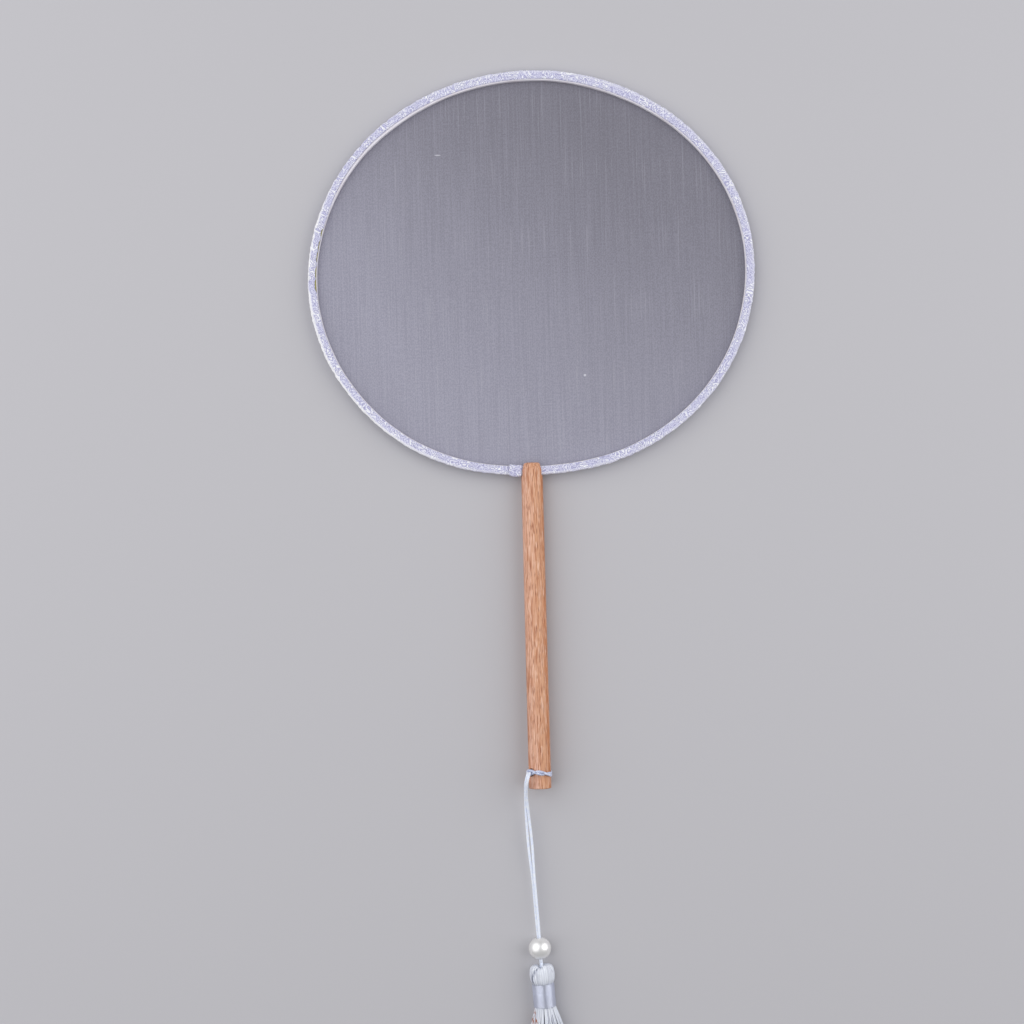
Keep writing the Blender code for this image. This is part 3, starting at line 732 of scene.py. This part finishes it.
def jacquard_finish():
    tape = Finish("jacquard_tape",
                  {"Sheen Weight": 0.25, "Sheen Roughness": 0.5, "Specular IOR Level": 0.3})
    note = tape.note()
    laid = tape.stretched(note, (1, 1, 0))
    along = tape.part(laid, "X")
    across = tape.part(laid, "Y")
    drift = tape.node("TexNoise", {}, {"Vector": laid, "Scale": 330.0, "Detail": 1.0}, "Color")
    bent = tape.node("VectorMath", {"operation": "MULTIPLY_ADD"},
                     {0: drift, 1: (curl_bend, curl_bend, 0.0), 2: laid})
    ripple = tape.maths("SINE", tape.speckle(bent, 400.0, 0.0) * curl_lines)
    patch = tape.step(tape.speckle(laid, 170.0, 1.0), 0.38, 0.60)
    curl = tape.step(ripple, 0.0, 0.7) * (0.30 + 0.60 * patch)
    bias = tape.maths("SINE", (along + across) * (math.tau / bias_spacing) + 9.0 * patch)
    # Painted shade in the furrow round each curl, with darker bias lines of the weave.
    curl_shade_and_bias_lines = tape.step(-1.0 * ripple, 0.55, 0.95) + 0.55 * tape.step(bias, 0.75, 0.98)
    weft = tape.maths("SINE", along * (math.tau / weft_spacing))
    fold = tape.step(across, 2.9 * MM, 4.1 * MM) * (1 - tape.step(across, 5.6 * MM, 7.0 * MM))
    angle = tape.part(note, "Z")
    # Painted highlight along the outer fold, strongest at the left.
    fold_highlight = fold * (0.25 + 0.65 * tape.step(angle, 2.3, 2.9) * (1 - tape.step(angle, 3.8, 4.5)))
    tape.use("Base Color", tape.layers(
        screen(191, 191, 224), (0.45 + 0.2 * weft, screen(214, 214, 241)), (curl, screen(250, 251, 255)),
        (0.60 * curl_shade_and_bias_lines, screen(150, 147, 186)), (fold_highlight, screen(252, 252, 255))))
    tape.use("Roughness", 0.75 - 0.3 * curl)
    tape.raise_by(curl + 0.12 * weft - 0.4 * curl_shade_and_bias_lines, 0.16 * MM, 0.7)
    return tape.material


jacquard = jacquard_finish()

# %% [markdown]
# The tape is folded round the outside of the rim and glued down on both sides, so its section is a
# narrow channel open to the inside.  The outer edge is a little lumpy where the pattern is thick,
# and the inner edge wanders with the hand that laid it.  Tape and lining share the rim's width,
# which short tables give.  At the left the tape was drawn back, and the bamboo shows.

# %% Fold the tape round the rim
tape_thickness = 0.35 * MM
tape_leg = 5.00 * MM
rim_half_depth = 2.3 * MM
tape_fold_radius = 0.9 * MM
face_from_fold = 0.3 * MM
pressed_middle = 118
pressed_reach = 75
pressed_in = 0.28 * MM
fold_steps = 7
face_steps = 5
lining_inset = 4.75 * MM
lining_thickness = 0.75 * MM
least_lining = 0.18 * MM
bare_places = ((162.1, 1.1, 0.66), (166.0, 1.5, 0.56), (169.4, 1.6, 0.60), (174.2, 1.9, 0.64),
               (177.8, 1.8, 1.00))
RIM_WIDTHS = ((0, -0.65), (20, -0.40), (40, -0.05), (60, 0.58), (80, 0.02), (100, 0.28), (115, 0.40),
              (125, 0.30), (135, -0.35), (165, -0.60), (200, -0.50), (210, -0.75), (225, -0.70),
              (240, -0.32), (260, -0.75), (300, -0.75), (320, -0.65), (340, -0.80), (360, -0.65))
LINING_WIDTHS = ((0, 0.45), (40, 0.70), (60, 0.70), (90, 0.60), (110, 0.95), (125, 1.40), (145, 1.35),
                 (158, 0.20), (184, 0.20), (200, 0.40), (240, 0.30), (300, 0.25), (340, 0.30), (360, 0.45))


def channel(outset, half_depth, leg, lump, ripple, fold_radius, across_from=0.0):
    """Closed section of folded tape: outer face from front to back, then the inner face."""
    outer = []
    for step in range(face_steps):
        share = step / face_steps
        outer.append((leg + (outset + fold_radius - leg) * share, half_depth + ripple * share))
    for step in range(fold_steps + 1):
        turn = math.pi / 2 * step / fold_steps
        outer.append((outset + fold_radius * (1 - math.sin(turn)) - lump * math.sin(turn),
                      half_depth - fold_radius * (1 - math.cos(turn)) + ripple * math.cos(turn)))
    outer += [(inset, -height) for inset, height in reversed(outer)]
    inner = []
    inside = outset + tape_thickness
    flat = half_depth - tape_thickness
    for inset, height in reversed(outer):
        if inset > inside + face_from_fold:
            inner.append((inset, flat if height > 0 else -flat))
        else:
            inner.append((inside, max(-flat, min(flat, height))))
    points = []
    across = across_from
    last = outer[0]
    for inset, height in outer + inner:
        across += math.dist(last, (inset, height))
        last = (inset, height)
        points.append((inset, height, across))
    return points


def drawn_back(angle):
    """How far the tape is drawn back from its usual width, at a few places on the left."""
    back = 0.0
    for degrees_round, reach, depth in bare_places:
        away = (math.degrees(angle) - degrees_round) / reach
        back = max(back, depth * MM * math.exp(-away ** 4))
    return back


def width_at(table, angle):
    """Width from a table of angles and millimetres."""
    return read(table, math.degrees(angle) % 360) * MM


def rim_inner(angle):
    """Inset of the lining's inner face, which ends the rim's width."""
    return lining_inset + max(lining_thickness + width_at(RIM_WIDTHS, angle), least_lining)


def tape_section(angle):
    lump = 0.16 * MM * rim_wave(angle, 42.0, 3.0) + 0.10 * MM * rim_wave(angle, 110.0, 9.0)
    ripple = 0.08 * MM * rim_wave(angle, 30.0, 5.0)
    leg = rim_inner(angle) - width_at(LINING_WIDTHS, angle) - drawn_back(angle)
    leg += 0.07 * MM * (1 + rim_wave(angle, 14.0, 7.0)) + 0.05 * MM * rim_wave(angle, 60.0, 11.0)
    inset = pressed_in * bump_at(angle, pressed_middle, pressed_reach)
    return channel(inset, rim_half_depth, leg, lump, ripple, tape_fold_radius)


tape_shape, tape_length = sweep(all_round, tape_section, True)
tape = tape_shape.make("edging_tape", fan_place, jacquard, "fan", "tape", "edge_binding")
print("tape", round(tape_length / MM), "mm long")

# %% [markdown]
# Beside the handle the tape starts and ends, and one end is folded over the other.  This second
# layer is rougher: it was cut by hand and its edge bulges a little towards the handle.

# %% Lap the end of the tape
handle_top_radius = 5.95 * MM
lap_length = 6.2 * MM
lap_extra_leg = 0.85 * MM
lap_layer = tape_thickness + seat_gap
lap_steps = 36
lap_right = -middle_beside_handle - handle_top_radius - 2 * seat_gap
lap_from = rim_angle_at(lap_right - lap_length)
lap_to = rim_angle_at(lap_right)
lap_fold_radius = 1.0 * MM
lap_pattern_from = 20 * MM
lap_to_wood = 0.06 * MM
trimmed_from = 0.4
TIP_RADII = ((-115.2, 5.95), (-109.6, 5.9), (-106.8, 5.5), (-105.7, 4.3))


def lap_section(angle):
    share = (angle - lap_from) / (lap_to - lap_from)
    lump = 0.12 * MM * rim_wave(angle, 120.0, 21.0) + 0.35 * MM * math.sin(math.pi * share)
    ripple = 0.10 * MM * rim_wave(angle, 90.0, 23.0)
    leg = tape_leg + lap_extra_leg * (1 - 0.6 * share) + 0.15 * MM * rim_wave(angle, 100.0, 25.0)
    layer = lap_layer * (0.35 + 0.65 * min(1, 2.5 * share))
    return channel(-layer, rim_half_depth + lap_layer, leg, lump, ripple, lap_fold_radius,
                   lap_pattern_from)


lap_angles = [lap_from + (lap_to - lap_from) * step / lap_steps for step in range(lap_steps + 1)]
lap_shape, _ = sweep(lap_angles, lap_section, False)
lap_sides = len(lap_shape.points) // (lap_steps + 1)
for index, point in enumerate(lap_shape.points):
    share = index // lap_sides / lap_steps
    beside_wood = -middle_beside_handle - read(TIP_RADII, point.y / MM) * MM - lap_to_wood
    point.x += (beside_wood - lap_right) * max(0, share - trimmed_from) / (1 - trimmed_from)
lap = lap_shape.make("tape_lap", fan_place, jacquard, "fan", "tape", "binding_lap")

# %% [markdown]
# A narrow white strip is glued inside the rim and hides the edge of the bamboo.  Its upper edge is
# tucked over the bamboo and under the tape, apart from the left, where it stands out at its foot
# only.  It is thin and stiff, and carries a fine crosswise weave.

# %% Lining finish
def lining_finish():
    strip = Finish("white_lining", {"Roughness": 0.8, "Specular IOR Level": 0.25})
    note = strip.note()
    weft = strip.streaks(note, (1, 0.15, 0), 2600.0, 1.0)
    stain = strip.step(strip.streaks(note, (1, 0, 0), 60.0, 3.0), 0.35, 0.7)
    strip.use("Base Color", strip.layers(
        screen(230, 227, 236), (weft, screen(244, 242, 250)), (0.4 * stain, screen(214, 204, 212))))
    strip.raise_by(weft, 0.05 * MM, 0.5)
    return strip.material


# %% Glue the lining in
lining_top = 1.80 * MM
lining_lip = 1.6 * MM
lip_foot = 1.45 * MM
lining_foot = 0.16 * MM
lining_bevel = 0.08 * MM
lining_back_note = 4.0 * MM
untucked_middle = 171
untucked_reach = 14
tuck_fade = 3
silk_height = -1.50 * MM
above_silk = 0.02 * MM


def lining_section(angle):
    top = lining_top + 0.05 * MM * rim_wave(angle, 24.0, 31.0)
    lean_in = lining_foot * (1 + 0.5 * rim_wave(angle, 10.0, 33.0))
    foot = silk_height + above_silk
    height = top - foot
    inner = rim_inner(angle)
    past_bare = abs(math.degrees(angle) - untucked_middle) - untucked_reach
    tucked = lining_inset - lining_lip * min(1, max(0, past_bare) / tuck_fade)
    return [(tucked, top, 0.0), (inner - lining_bevel, top, lining_thickness),
            (inner, top - lining_bevel, lining_thickness),
            (inner + 0.25 * lean_in, foot + 0.5 * height, lining_thickness + 0.5 * height),
            (inner + 0.6 * lean_in, foot + 0.2 * height, lining_thickness + 0.8 * height),
            (inner + lean_in, foot, lining_thickness + height), (lining_inset, foot, lining_back_note),
            (lining_inset, lip_foot, lining_back_note), (tucked, lip_foot, lining_back_note)]


lining_shape, _ = sweep(all_round, lining_section, True)
lining_shape.make("rim_lining", fan_place, lining_finish(), "fan", "lining", "inner_lining")

# %% [markdown]
# The silk is one sheer layer, woven fine enough that the table shows through it.  Its threads are
# far too thin to see one by one, but the warp's slight unevenness shows as faint lines that run
# nearly the whole height of the fan, with a few thicker threads, the slubs, among them.  A constant
# alpha lets the table through and the threads are drawn in the colour.  The colour is painted paler
# towards the lower left and at both sides, as painted light where more light falls on the silk, and
# one knot and one fleck lie on it.

# %% Silk finish
knot_place = Vector((-50.318, 67.8, -1.5)) * MM
knot_stretch = (0.22, 1, 1)
knot_reach = 0.48 * MM
fleck_place = Vector((28.8, -57.4, -1.5)) * MM
fleck_reach = 0.9 * MM


def silk_finish():
    silk = Finish("sheer_silk", {"Alpha": 0.74, "Roughness": 0.5, "Specular IOR Level": 0.7})
    place = silk.place()
    warp = silk.streaks(place, (1, 0.01, 1), 1850.0, 1.0)
    grain = silk.streaks(place, (1, 0.5, 1), 2100.0, 1.0)
    weft = silk.streaks(place, (0.05, 1, 1), 2000.0, 0.0)
    slub = silk.step(silk.streaks(place, (1, 0.02, 1), 1300.0, 0.0), 0.66, 0.78)
    threads = silk.step(0.30 * warp + 0.62 * grain + 0.08 * weft, 0.38, 0.62)
    # Painted light: the colour is paler towards the lower left and at both sides, where more light falls.
    along = silk.part(place, "X")
    sides = silk.step(silk.maths("ABSOLUTE", along), 0.04, 0.11)
    fall = -0.55 * along - 0.85 * silk.part(place, "Y") + 0.02 * silk.speckle(place, 20.0)
    painted_light_slope = silk.step(fall, -0.11, 0.12) + 0.10 * sides
    dark = silk.mix(painted_light_slope, screen(111, 109, 123), screen(154, 153, 172))
    light = silk.mix(painted_light_slope, screen(129, 127, 142), screen(173, 172, 191))
    knot = silk.near(silk.stretched(place, knot_stretch), Vector(knot_stretch) * knot_place, knot_reach)
    fleck = silk.near(place, fleck_place, fleck_reach)
    silk.use("Base Color", silk.layers(
        dark, (threads, light), (0.17 * slub, screen(196, 196, 208)),
        (0.6 * knot + 0.8 * fleck, screen(232, 232, 244))))
    silk.raise_by(threads, 0.02 * MM, 0.3)
    return silk.material


# %% Stretch the silk on the hoop
silk_edge_inset = 1.05 * MM
silk_sag = 0.06 * MM
sag_waves = 18
silk_rings = 60
silk_spokes = 240


def stretched_silk():
    """A flat disc of cloth with the faintest sag, on rings that follow the oval."""
    cloth = Shape()
    cloth.points.append(Vector((0, 0, silk_height)))
    cloth.notes.append((0.0, 0.0, 0.0))
    edge = []
    for spoke in range(silk_spokes):
        point, inward = rim_frame(math.tau * spoke / silk_spokes)
        edge.append(point + inward * silk_edge_inset)
    for ring in range(1, silk_rings + 1):
        share = ring / silk_rings
        for edge_point in edge:
            point = edge_point * share
            sag = silk_sag * noise.noise(point * sag_waves) * (1 - share ** 6)
            cloth.points.append(Vector((point.x, point.y, silk_height + sag)))
            cloth.notes.append((point.x, point.y, share))
    for spoke in range(silk_spokes):
        following = (spoke + 1) % silk_spokes
        cloth.faces.append((0, 1 + spoke, 1 + following))
        for ring in range(silk_rings - 1):
            here = 1 + ring * silk_spokes
            there = here + silk_spokes
            cloth.faces.append((here + spoke, there + spoke, there + following, here + following))
    return cloth


silk = stretched_silk().make("silk_gauze", fan_place, silk_finish(), "fan", "silk", "silk_panel")

# %% [markdown]
# The bead is plastic with a pearl coating, bored for both strands.  Pearl is a pale body under a
# clear coat, and light that crosses the coat aslant comes back warmer.  A tinted coat does that
# by itself: the longer the way through it, the stronger its cream.

# %% Pearl finish
def pearl_finish():
    pearl = Finish("pearl_coating", {"Roughness": 0.32, "Metallic": 0.42, "Coat Weight": 1.0,
                                     "Coat Roughness": 0.21, "Coat IOR": 1.7,
                                     "Coat Tint": (1.0, 0.98, 0.93, 1.0)})
    place = pearl.place()
    cloud = pearl.speckle(place, 220.0)
    pearl.use("Base Color", pearl.mix(cloud, screen(236, 238, 246), screen(246, 247, 253)))
    pearl.raise_by(pearl.speckle(place, 1500.0), 0.01 * MM, 0.3)
    return pearl.material


# %% Turn the bead
bead_radius = 6.3 * MM
bore_radius = 1.85 * MM
bead_above_tassel = 7.9 * MM
bead_sides = 72
bead_rings = 40
bore_rings = 8
bore_round = 0.25 * MM


def turned_bead():
    """A ball with a bore whose mouths are a little rounded."""
    mouth = math.asin((bore_radius + bore_round) / bead_radius)
    outline = []
    for step in range(bead_rings + 1):
        turn = mouth + (math.pi - 2 * mouth) * step / bead_rings
        outline.append((bead_radius * math.sin(turn), bead_radius * math.cos(turn)))
    low = outline[-1][1]
    bore_end = low + bore_round
    outline.append((bore_radius + 0.3 * bore_round, low + 0.02 * MM))
    for step in range(bore_rings + 1):
        outline.append((bore_radius, bore_end - 2 * bore_end * step / bore_rings))
    outline.append((bore_radius + 0.3 * bore_round, -low - 0.02 * MM))
    ball = Shape()
    ball.add_rings([[about_axis(radius, math.tau * side / bead_sides, along) for side in range(bead_sides)]
                    for radius, along in outline], joined=True)
    return ball


bead = turned_bead().make("bored_pearl", hang_place @ Matrix.Translation((0, bead_above_tassel, 0)),
                          pearl_finish(), "bead", "pearl", "pearl_bead")

# %% [markdown]
# A tassel is a hank of thread folded in the middle over the cord, with more thread wound round just
# below the fold.  Every thread is its own thin tube here, since a solid with lines painted on it
# loses its edge, its shadows and its loose ends.  The rayon is silvery and bright, and a patch of
# orange-brown flecks marks the left of the skirt.

# %% Rayon finish
brown_fleck_place = Vector((-7.4, -15.6, 0.4)) * MM
brown_fleck_reach = 4.0 * MM


def rayon_finish(name, dark, light, roughness, metallic=0.0, relief=0.5):
    rayon = Finish(name, {"Sheen Weight": 0.5, "Sheen Roughness": 0.35, "Metallic": metallic,
                          "Sheen Tint": screen(222, 230, 255)})
    tone = rayon.part(rayon.note(), "Y")
    place = rayon.place()
    twist = rayon.streaks(place, (1, 0.2, 1), 2400.0)
    # Orange-brown flecks in one patch at the left of the skirt.
    brown_flecks = rayon.near(rayon.stretched(place, (1, 0.5, 0.4)), brown_fleck_place, brown_fleck_reach)
    patch = rayon.step(rayon.streaks(place, (1, 0.3, 1), 900.0, 1.0), 0.50, 0.57)
    rayon.use("Base Color", rayon.layers(
        dark, (0.85 * tone + 0.15 * twist, light), (brown_flecks * patch, screen(168, 92, 48))))
    rayon.use("Roughness", roughness + 0.3 * relief * twist)
    rayon.raise_by(twist, 0.04 * MM, relief)
    return rayon.material


rayon = rayon_finish("rayon_thread", screen(104, 106, 140), screen(242, 246, 255), 0.30)

# %% Fold the tassel's head
head_length = 10.6 * MM
head_half_width = 7.05 * MM
head_half_height = 6.3 * MM
head_threads = 230
head_thread_radius = 0.26 * MM
thread_sides = 5
head_step = 0.6 * MM
over_the_head = ((0.14, 0.40), (0.20, 0.24), (0.34, 0.10), (0.52, 0.03), (0.70, 0.03), (0.85, 0.09),
                 (0.95, 0.20), (0.995, 0.36), (1.0, 0.56), (0.965, 0.78), (0.84, 0.97), (0.74, 1.08))
GROOVES = ((2.4, 0.7, ((0.0, -1.4), (0.15, -2.3), (0.3, -3.7), (0.49, -4.9), (0.73, -5.5), (0.95, -4.9),
                       (1.2, -4.6))),
           (0.8, 0.35, ((0.0, 2.8), (0.15, 4.6), (0.49, 6.1), (1.0, 6.7), (1.2, 6.7))))
notch_depth = 1.7 * MM
notch_side = -0.7 * MM
notch_width = 1.3 * MM
notch_end = 0.45
chance = random.Random(7)


def groove_at(x, share):
    """How deep the dark lines between the lobes of the head are, at a place."""
    sink = 0.0
    for depth, width, path in GROOVES:
        side = read(path, share) * MM
        sink = max(sink, depth * MM * math.exp(-((x - side) / (width * MM)) ** 2))
    return sink * min(1, share * 6)


def head_point(turn, wide, share, inset):
    """Point of the head's surface, moved in, with its notch and its grooves."""
    x = (head_half_width * wide - inset) * math.cos(turn)
    z = (head_half_height * wide - inset) * math.sin(turn)
    if z > 0:
        z = max(0, z - groove_at(x, share))
    dip = notch_depth * math.exp(-((x - notch_side) / notch_width) ** 2) * max(0, 1 - share / notch_end)
    return Vector((x, head_start - head_length * share - dip, z))


head = Shape()
for index in range(head_threads):
    turn = math.tau * (index + chance.uniform(-0.35, 0.35)) / head_threads
    inset = head_thread_radius + 0.05 * MM + abs(chance.gauss(0, 0.16)) * MM
    sway = chance.uniform(-0.05, 0.05)
    points = [head_point(turn + sway * share, wide, share, inset * min(1, wide * 1.4))
              for wide, share in over_the_head]
    head.add_tube(smooth_route(points, head_step), head_thread_radius, thread_sides,
                  chance.uniform(0.6, 1.25))
head.make("tassel_head", hang_place, rayon, "tassel", "tassel")

# %% [markdown]
# Under the outer threads of the head and the winding lie many more that nobody sees, apart from the
# shade between the outer ones.  A plain core a little smaller than the head stands for them, and its
# dark colour is painted shade: the colour of thread in shadow.

# %% Pad the tassel's core
core_sides = 64
core_inset = 0.75 * MM
core_outline = ((0.10, 0.30), (0.40, 0.13), (0.66, 0.10), (0.82, 0.15), (0.92, 0.26), (0.97, 0.42),
                (0.97, 0.62), (0.93, 0.82), (0.84, 1.0), (0.78, 1.2), (0.78, 2.1), (0.84, 2.3))
core = Shape()
core.add_rings([[head_point(math.tau * side / core_sides, wide, share, core_inset)
                 for side in range(core_sides)] for wide, share in core_outline])
# The core's dark colour is painted shade: the colour of thread in shadow.
painted_shade_rayon = rayon_finish("painted_shade_rayon", screen(112, 112, 136), screen(150, 152, 176), 0.5)
core.make("tassel_core", hang_place, painted_shade_rayon, "tassel", "tassel")

# %% [markdown]
# The neck is wound from glossy thread, turn on turn.  One helix makes it, flat enough that the turns
# touch, and the gloss of so many small tubes runs together into bright bands along the tassel.

# %% Wind the neck
neck_start = -11.6 * MM
neck_length = 13.1 * MM
neck_radius = 6.25 * MM
neck_round = 0.8 * MM
winding_radius = 0.20 * MM
winding_pitch = 0.35 * MM
winding_steps = 72
winding_sides = 6
winding_turns = (neck_length - 2 * winding_radius) / winding_pitch
winding_route = []
for step in range(round(winding_turns * winding_steps) + 1):
    turn = math.tau * step / winding_steps
    place = neck_start - winding_radius - winding_pitch * step / winding_steps
    share = min(1.0, min(neck_start - place, place - neck_start + neck_length) / neck_round)
    reach = neck_radius - winding_radius - 0.25 * MM * (1 - share) ** 2
    reach -= 0.03 * MM * noise.noise(Vector((0, 0, turn / 30)))
    winding_route.append(about_axis(reach, turn, place))
winding = Shape()
winding.add_tube(winding_route, winding_radius, winding_sides, 0.5)
silver_thread = rayon_finish("silver_thread", screen(204, 208, 226), screen(234, 238, 251), 0.27,
                             metallic=0.8, relief=0.12)
winding.make("wound_neck", hang_place, silver_thread, "tassel", "neck", "tassel_neck")

# %% [markdown]
# Below the winding the threads spread, sink to the table and end unevenly.  Three threads at a time
# lie twisted as a yarn, a few have come loose, and where the yarns spread, the threads under them
# show, painted dark as painted shade between the yarns.  Each keeps its place in a section that grows
# wide and low.  The skirt is as long as that of such a tassel.

# %% Let the skirt fall
skirt_start = -24.75 * MM
skirt_length = 85.0 * MM
skirt_half_width = 21.0 * MM
skirt_end_height = 5.6 * MM
neck_height = 12.6 * MM
table_below = -6.3 * MM
skirt_yarns = 46
yarn_ply = 3
yarn_radius = 0.22 * MM
inner_threads = 170
inner_reach = 0.78
loose_threads = 70
skirt_thread_radius = 0.25 * MM
skirt_top = 0.05
skirt_steps = 26
skirt_wander = 1.6 * MM
wander_wave = 3.5
yarn_twist = 9
even_end = 0.045
loose_end = 0.08
skirt_widths = ((-0.05, 0.26), (0.0, 0.28), (0.05, 0.36), (0.12, 0.45), (0.22, 0.56), (0.36, 0.69),
                (0.54, 0.81), (0.76, 0.92), (0.96, 0.99), (1.0, 0.99))
skirt_heights = ((-0.05, 0.84), (0.0, 0.92), (0.05, 0.97), (0.12, 0.94), (0.22, 0.86), (0.36, 0.72),
                 (0.54, 0.50), (0.76, 0.24), (0.96, 0.04), (1.0, 0.02))
skirt = Shape()


def skirt_thread(reach, turn, raggedness, seed, lift=0.0, twirl=0.0):
    """Route of one thread, from its place in the section and its place in its own yarn."""
    end = 1 + chance.uniform(-raggedness, 0.0)
    route = []
    for step in range(skirt_steps + 1):
        share = -skirt_top + (end + skirt_top) * step / skirt_steps
        fallen = max(share, 0)
        width = read(skirt_widths, share) * skirt_half_width
        height = skirt_end_height + (neck_height - skirt_end_height) * read(skirt_heights, share)
        wander = skirt_wander * fallen ** 0.7
        drift_x = wander * noise.noise(seed + Vector((share * wander_wave, 0, 0)))
        drift_z = wander * 0.5 * noise.noise(seed + Vector((share * wander_wave, 9, 5)))
        fray = lift * (1 + 1.5 * fallen)
        twist = twirl + yarn_twist * share
        x = (width - skirt_thread_radius) * (reach * math.cos(turn)) + drift_x
        z = height / 2 - skirt_thread_radius
        z = table_below + height / 2 + z * (reach * math.sin(turn)) + drift_z
        z = max(z + fray * math.sin(twist), table_below + skirt_thread_radius + 0.05 * MM)
        route.append(Vector((x + fray * math.cos(twist), skirt_start - skirt_length * share, z)))
    return route


golden = math.pi * (3 - math.sqrt(5))
# The inner threads get dark tones: painted shade in the gaps between the yarns.
for index in range(inner_threads):
    reach = inner_reach * math.sqrt((index + 0.5) / inner_threads)
    seed = Vector((index * 3.7, index * 1.3, 0))
    route = skirt_thread(reach, golden * index, even_end, seed)
    skirt.add_tube(route, skirt_thread_radius, thread_sides, chance.uniform(0.0, 0.4))
for index in range(loose_threads):
    turn = math.tau * chance.random()
    reach = chance.uniform(0.84, 0.94)
    route = skirt_thread(reach, turn, loose_end, Vector((index * 2.9, 6, index * 1.7)))
    skirt.add_tube(route, skirt_thread_radius, thread_sides, chance.uniform(0.0, 0.7))
for yarn in range(skirt_yarns):
    turn = math.tau * (yarn + chance.uniform(-0.3, 0.3)) / skirt_yarns
    reach = chance.uniform(0.90, 0.97)
    seed = Vector((yarn * 5.1, yarn * 2.3, 4))
    tone = chance.uniform(0.75, 1.3)
    for ply in range(yarn_ply):
        route = skirt_thread(reach, turn, even_end, seed, yarn_radius, math.tau * ply / yarn_ply)
        skirt.add_tube(route, skirt_thread_radius, thread_sides, tone + chance.uniform(-0.12, 0.12))
skirt.make("tassel_skirt", hang_place, rayon, "tassel", "tassel", "tassel_threads")

# %% [markdown]
# What hangs loose is worked out: each strand's length and what is on it, and the size that each
# cloth was cut to, which is printed.

# %% Measure cord and cloth
for strand_name, (strand, route) in strands.items():
    on_it = (bead, cord_end) if strand_name == "right" else ()
    round(route_length(route), 4)
silk_cut = (2 * oval_half_width - 2 * silk_edge_inset, 2 * oval_half_height - 2 * silk_edge_inset)
tape_cut = (0.758, 2 * tape_leg + 2 * rim_half_depth)
for cloth_name, cut in (("silk", silk_cut), ("tape", tape_cut)):
    print(cloth_name, "cut", [round(side / MM, 1) for side in cut], "mm")

# %% [markdown]
# The fan lies on a pale table.  Two large soft lamps, one at each side and a little above, give the
# twin highlights on the bead and the bright bands on the neck, and an even sky fills the shadows.

# %% Lay the table
table_half = 1.6
table_level = -0.0002
table_mesh = bpy.data.meshes.new("table")
corners = [(across * table_half, up * table_half, table_level)
           for across, up in ((-1, -1), (1, -1), (1, 1), (-1, 1))]
table_mesh.from_pydata(corners, [], [(0, 1, 2, 3)])
table_finish = Finish("pale_table", {"Roughness": 0.9, "Specular IOR Level": 0.1,
                                     "Base Color": screen(192, 191, 196)})
table_mesh.materials.append(table_finish.material)
put("table", table_mesh)

# %% Light the scene
sky_strength = 0.26
lit_place = Vector((0, -0.12, 0))
world = bpy.data.worlds.new("sky")
world.use_nodes = True
sky = world.node_tree.nodes["Background"]
sky.inputs["Strength"].default_value = sky_strength
sky.inputs["Color"].default_value = (1.0, 1.0, 1.0, 1.0)
bpy.context.scene.world = world


def softbox(name, place, width, height, power):
    """A soft oval lamp that looks at the handle."""
    lamp = put(name, bpy.data.lights.new(name, "AREA"))
    lamp.data.shape = "ELLIPSE"
    lamp.data.size = width
    lamp.data.size_y = height
    lamp.data.energy = power
    lamp.location = place
    lamp.rotation_euler = (Vector(place) - lit_place).to_track_quat("Z", "Y").to_euler()
    lamp.visible_camera = False


softbox("left_softbox", (-0.80, 0.15, 0.82), 2.2, 2.1, 15.0)
softbox("right_softbox", (1.00, 0.14, 0.70), 1.6, 1.9, 12.0)

# %% [markdown]
# The picture keeps the colours as they are, so the view is Standard.

# %% Set the view
bpy.context.scene.view_settings.view_transform = "Standard"
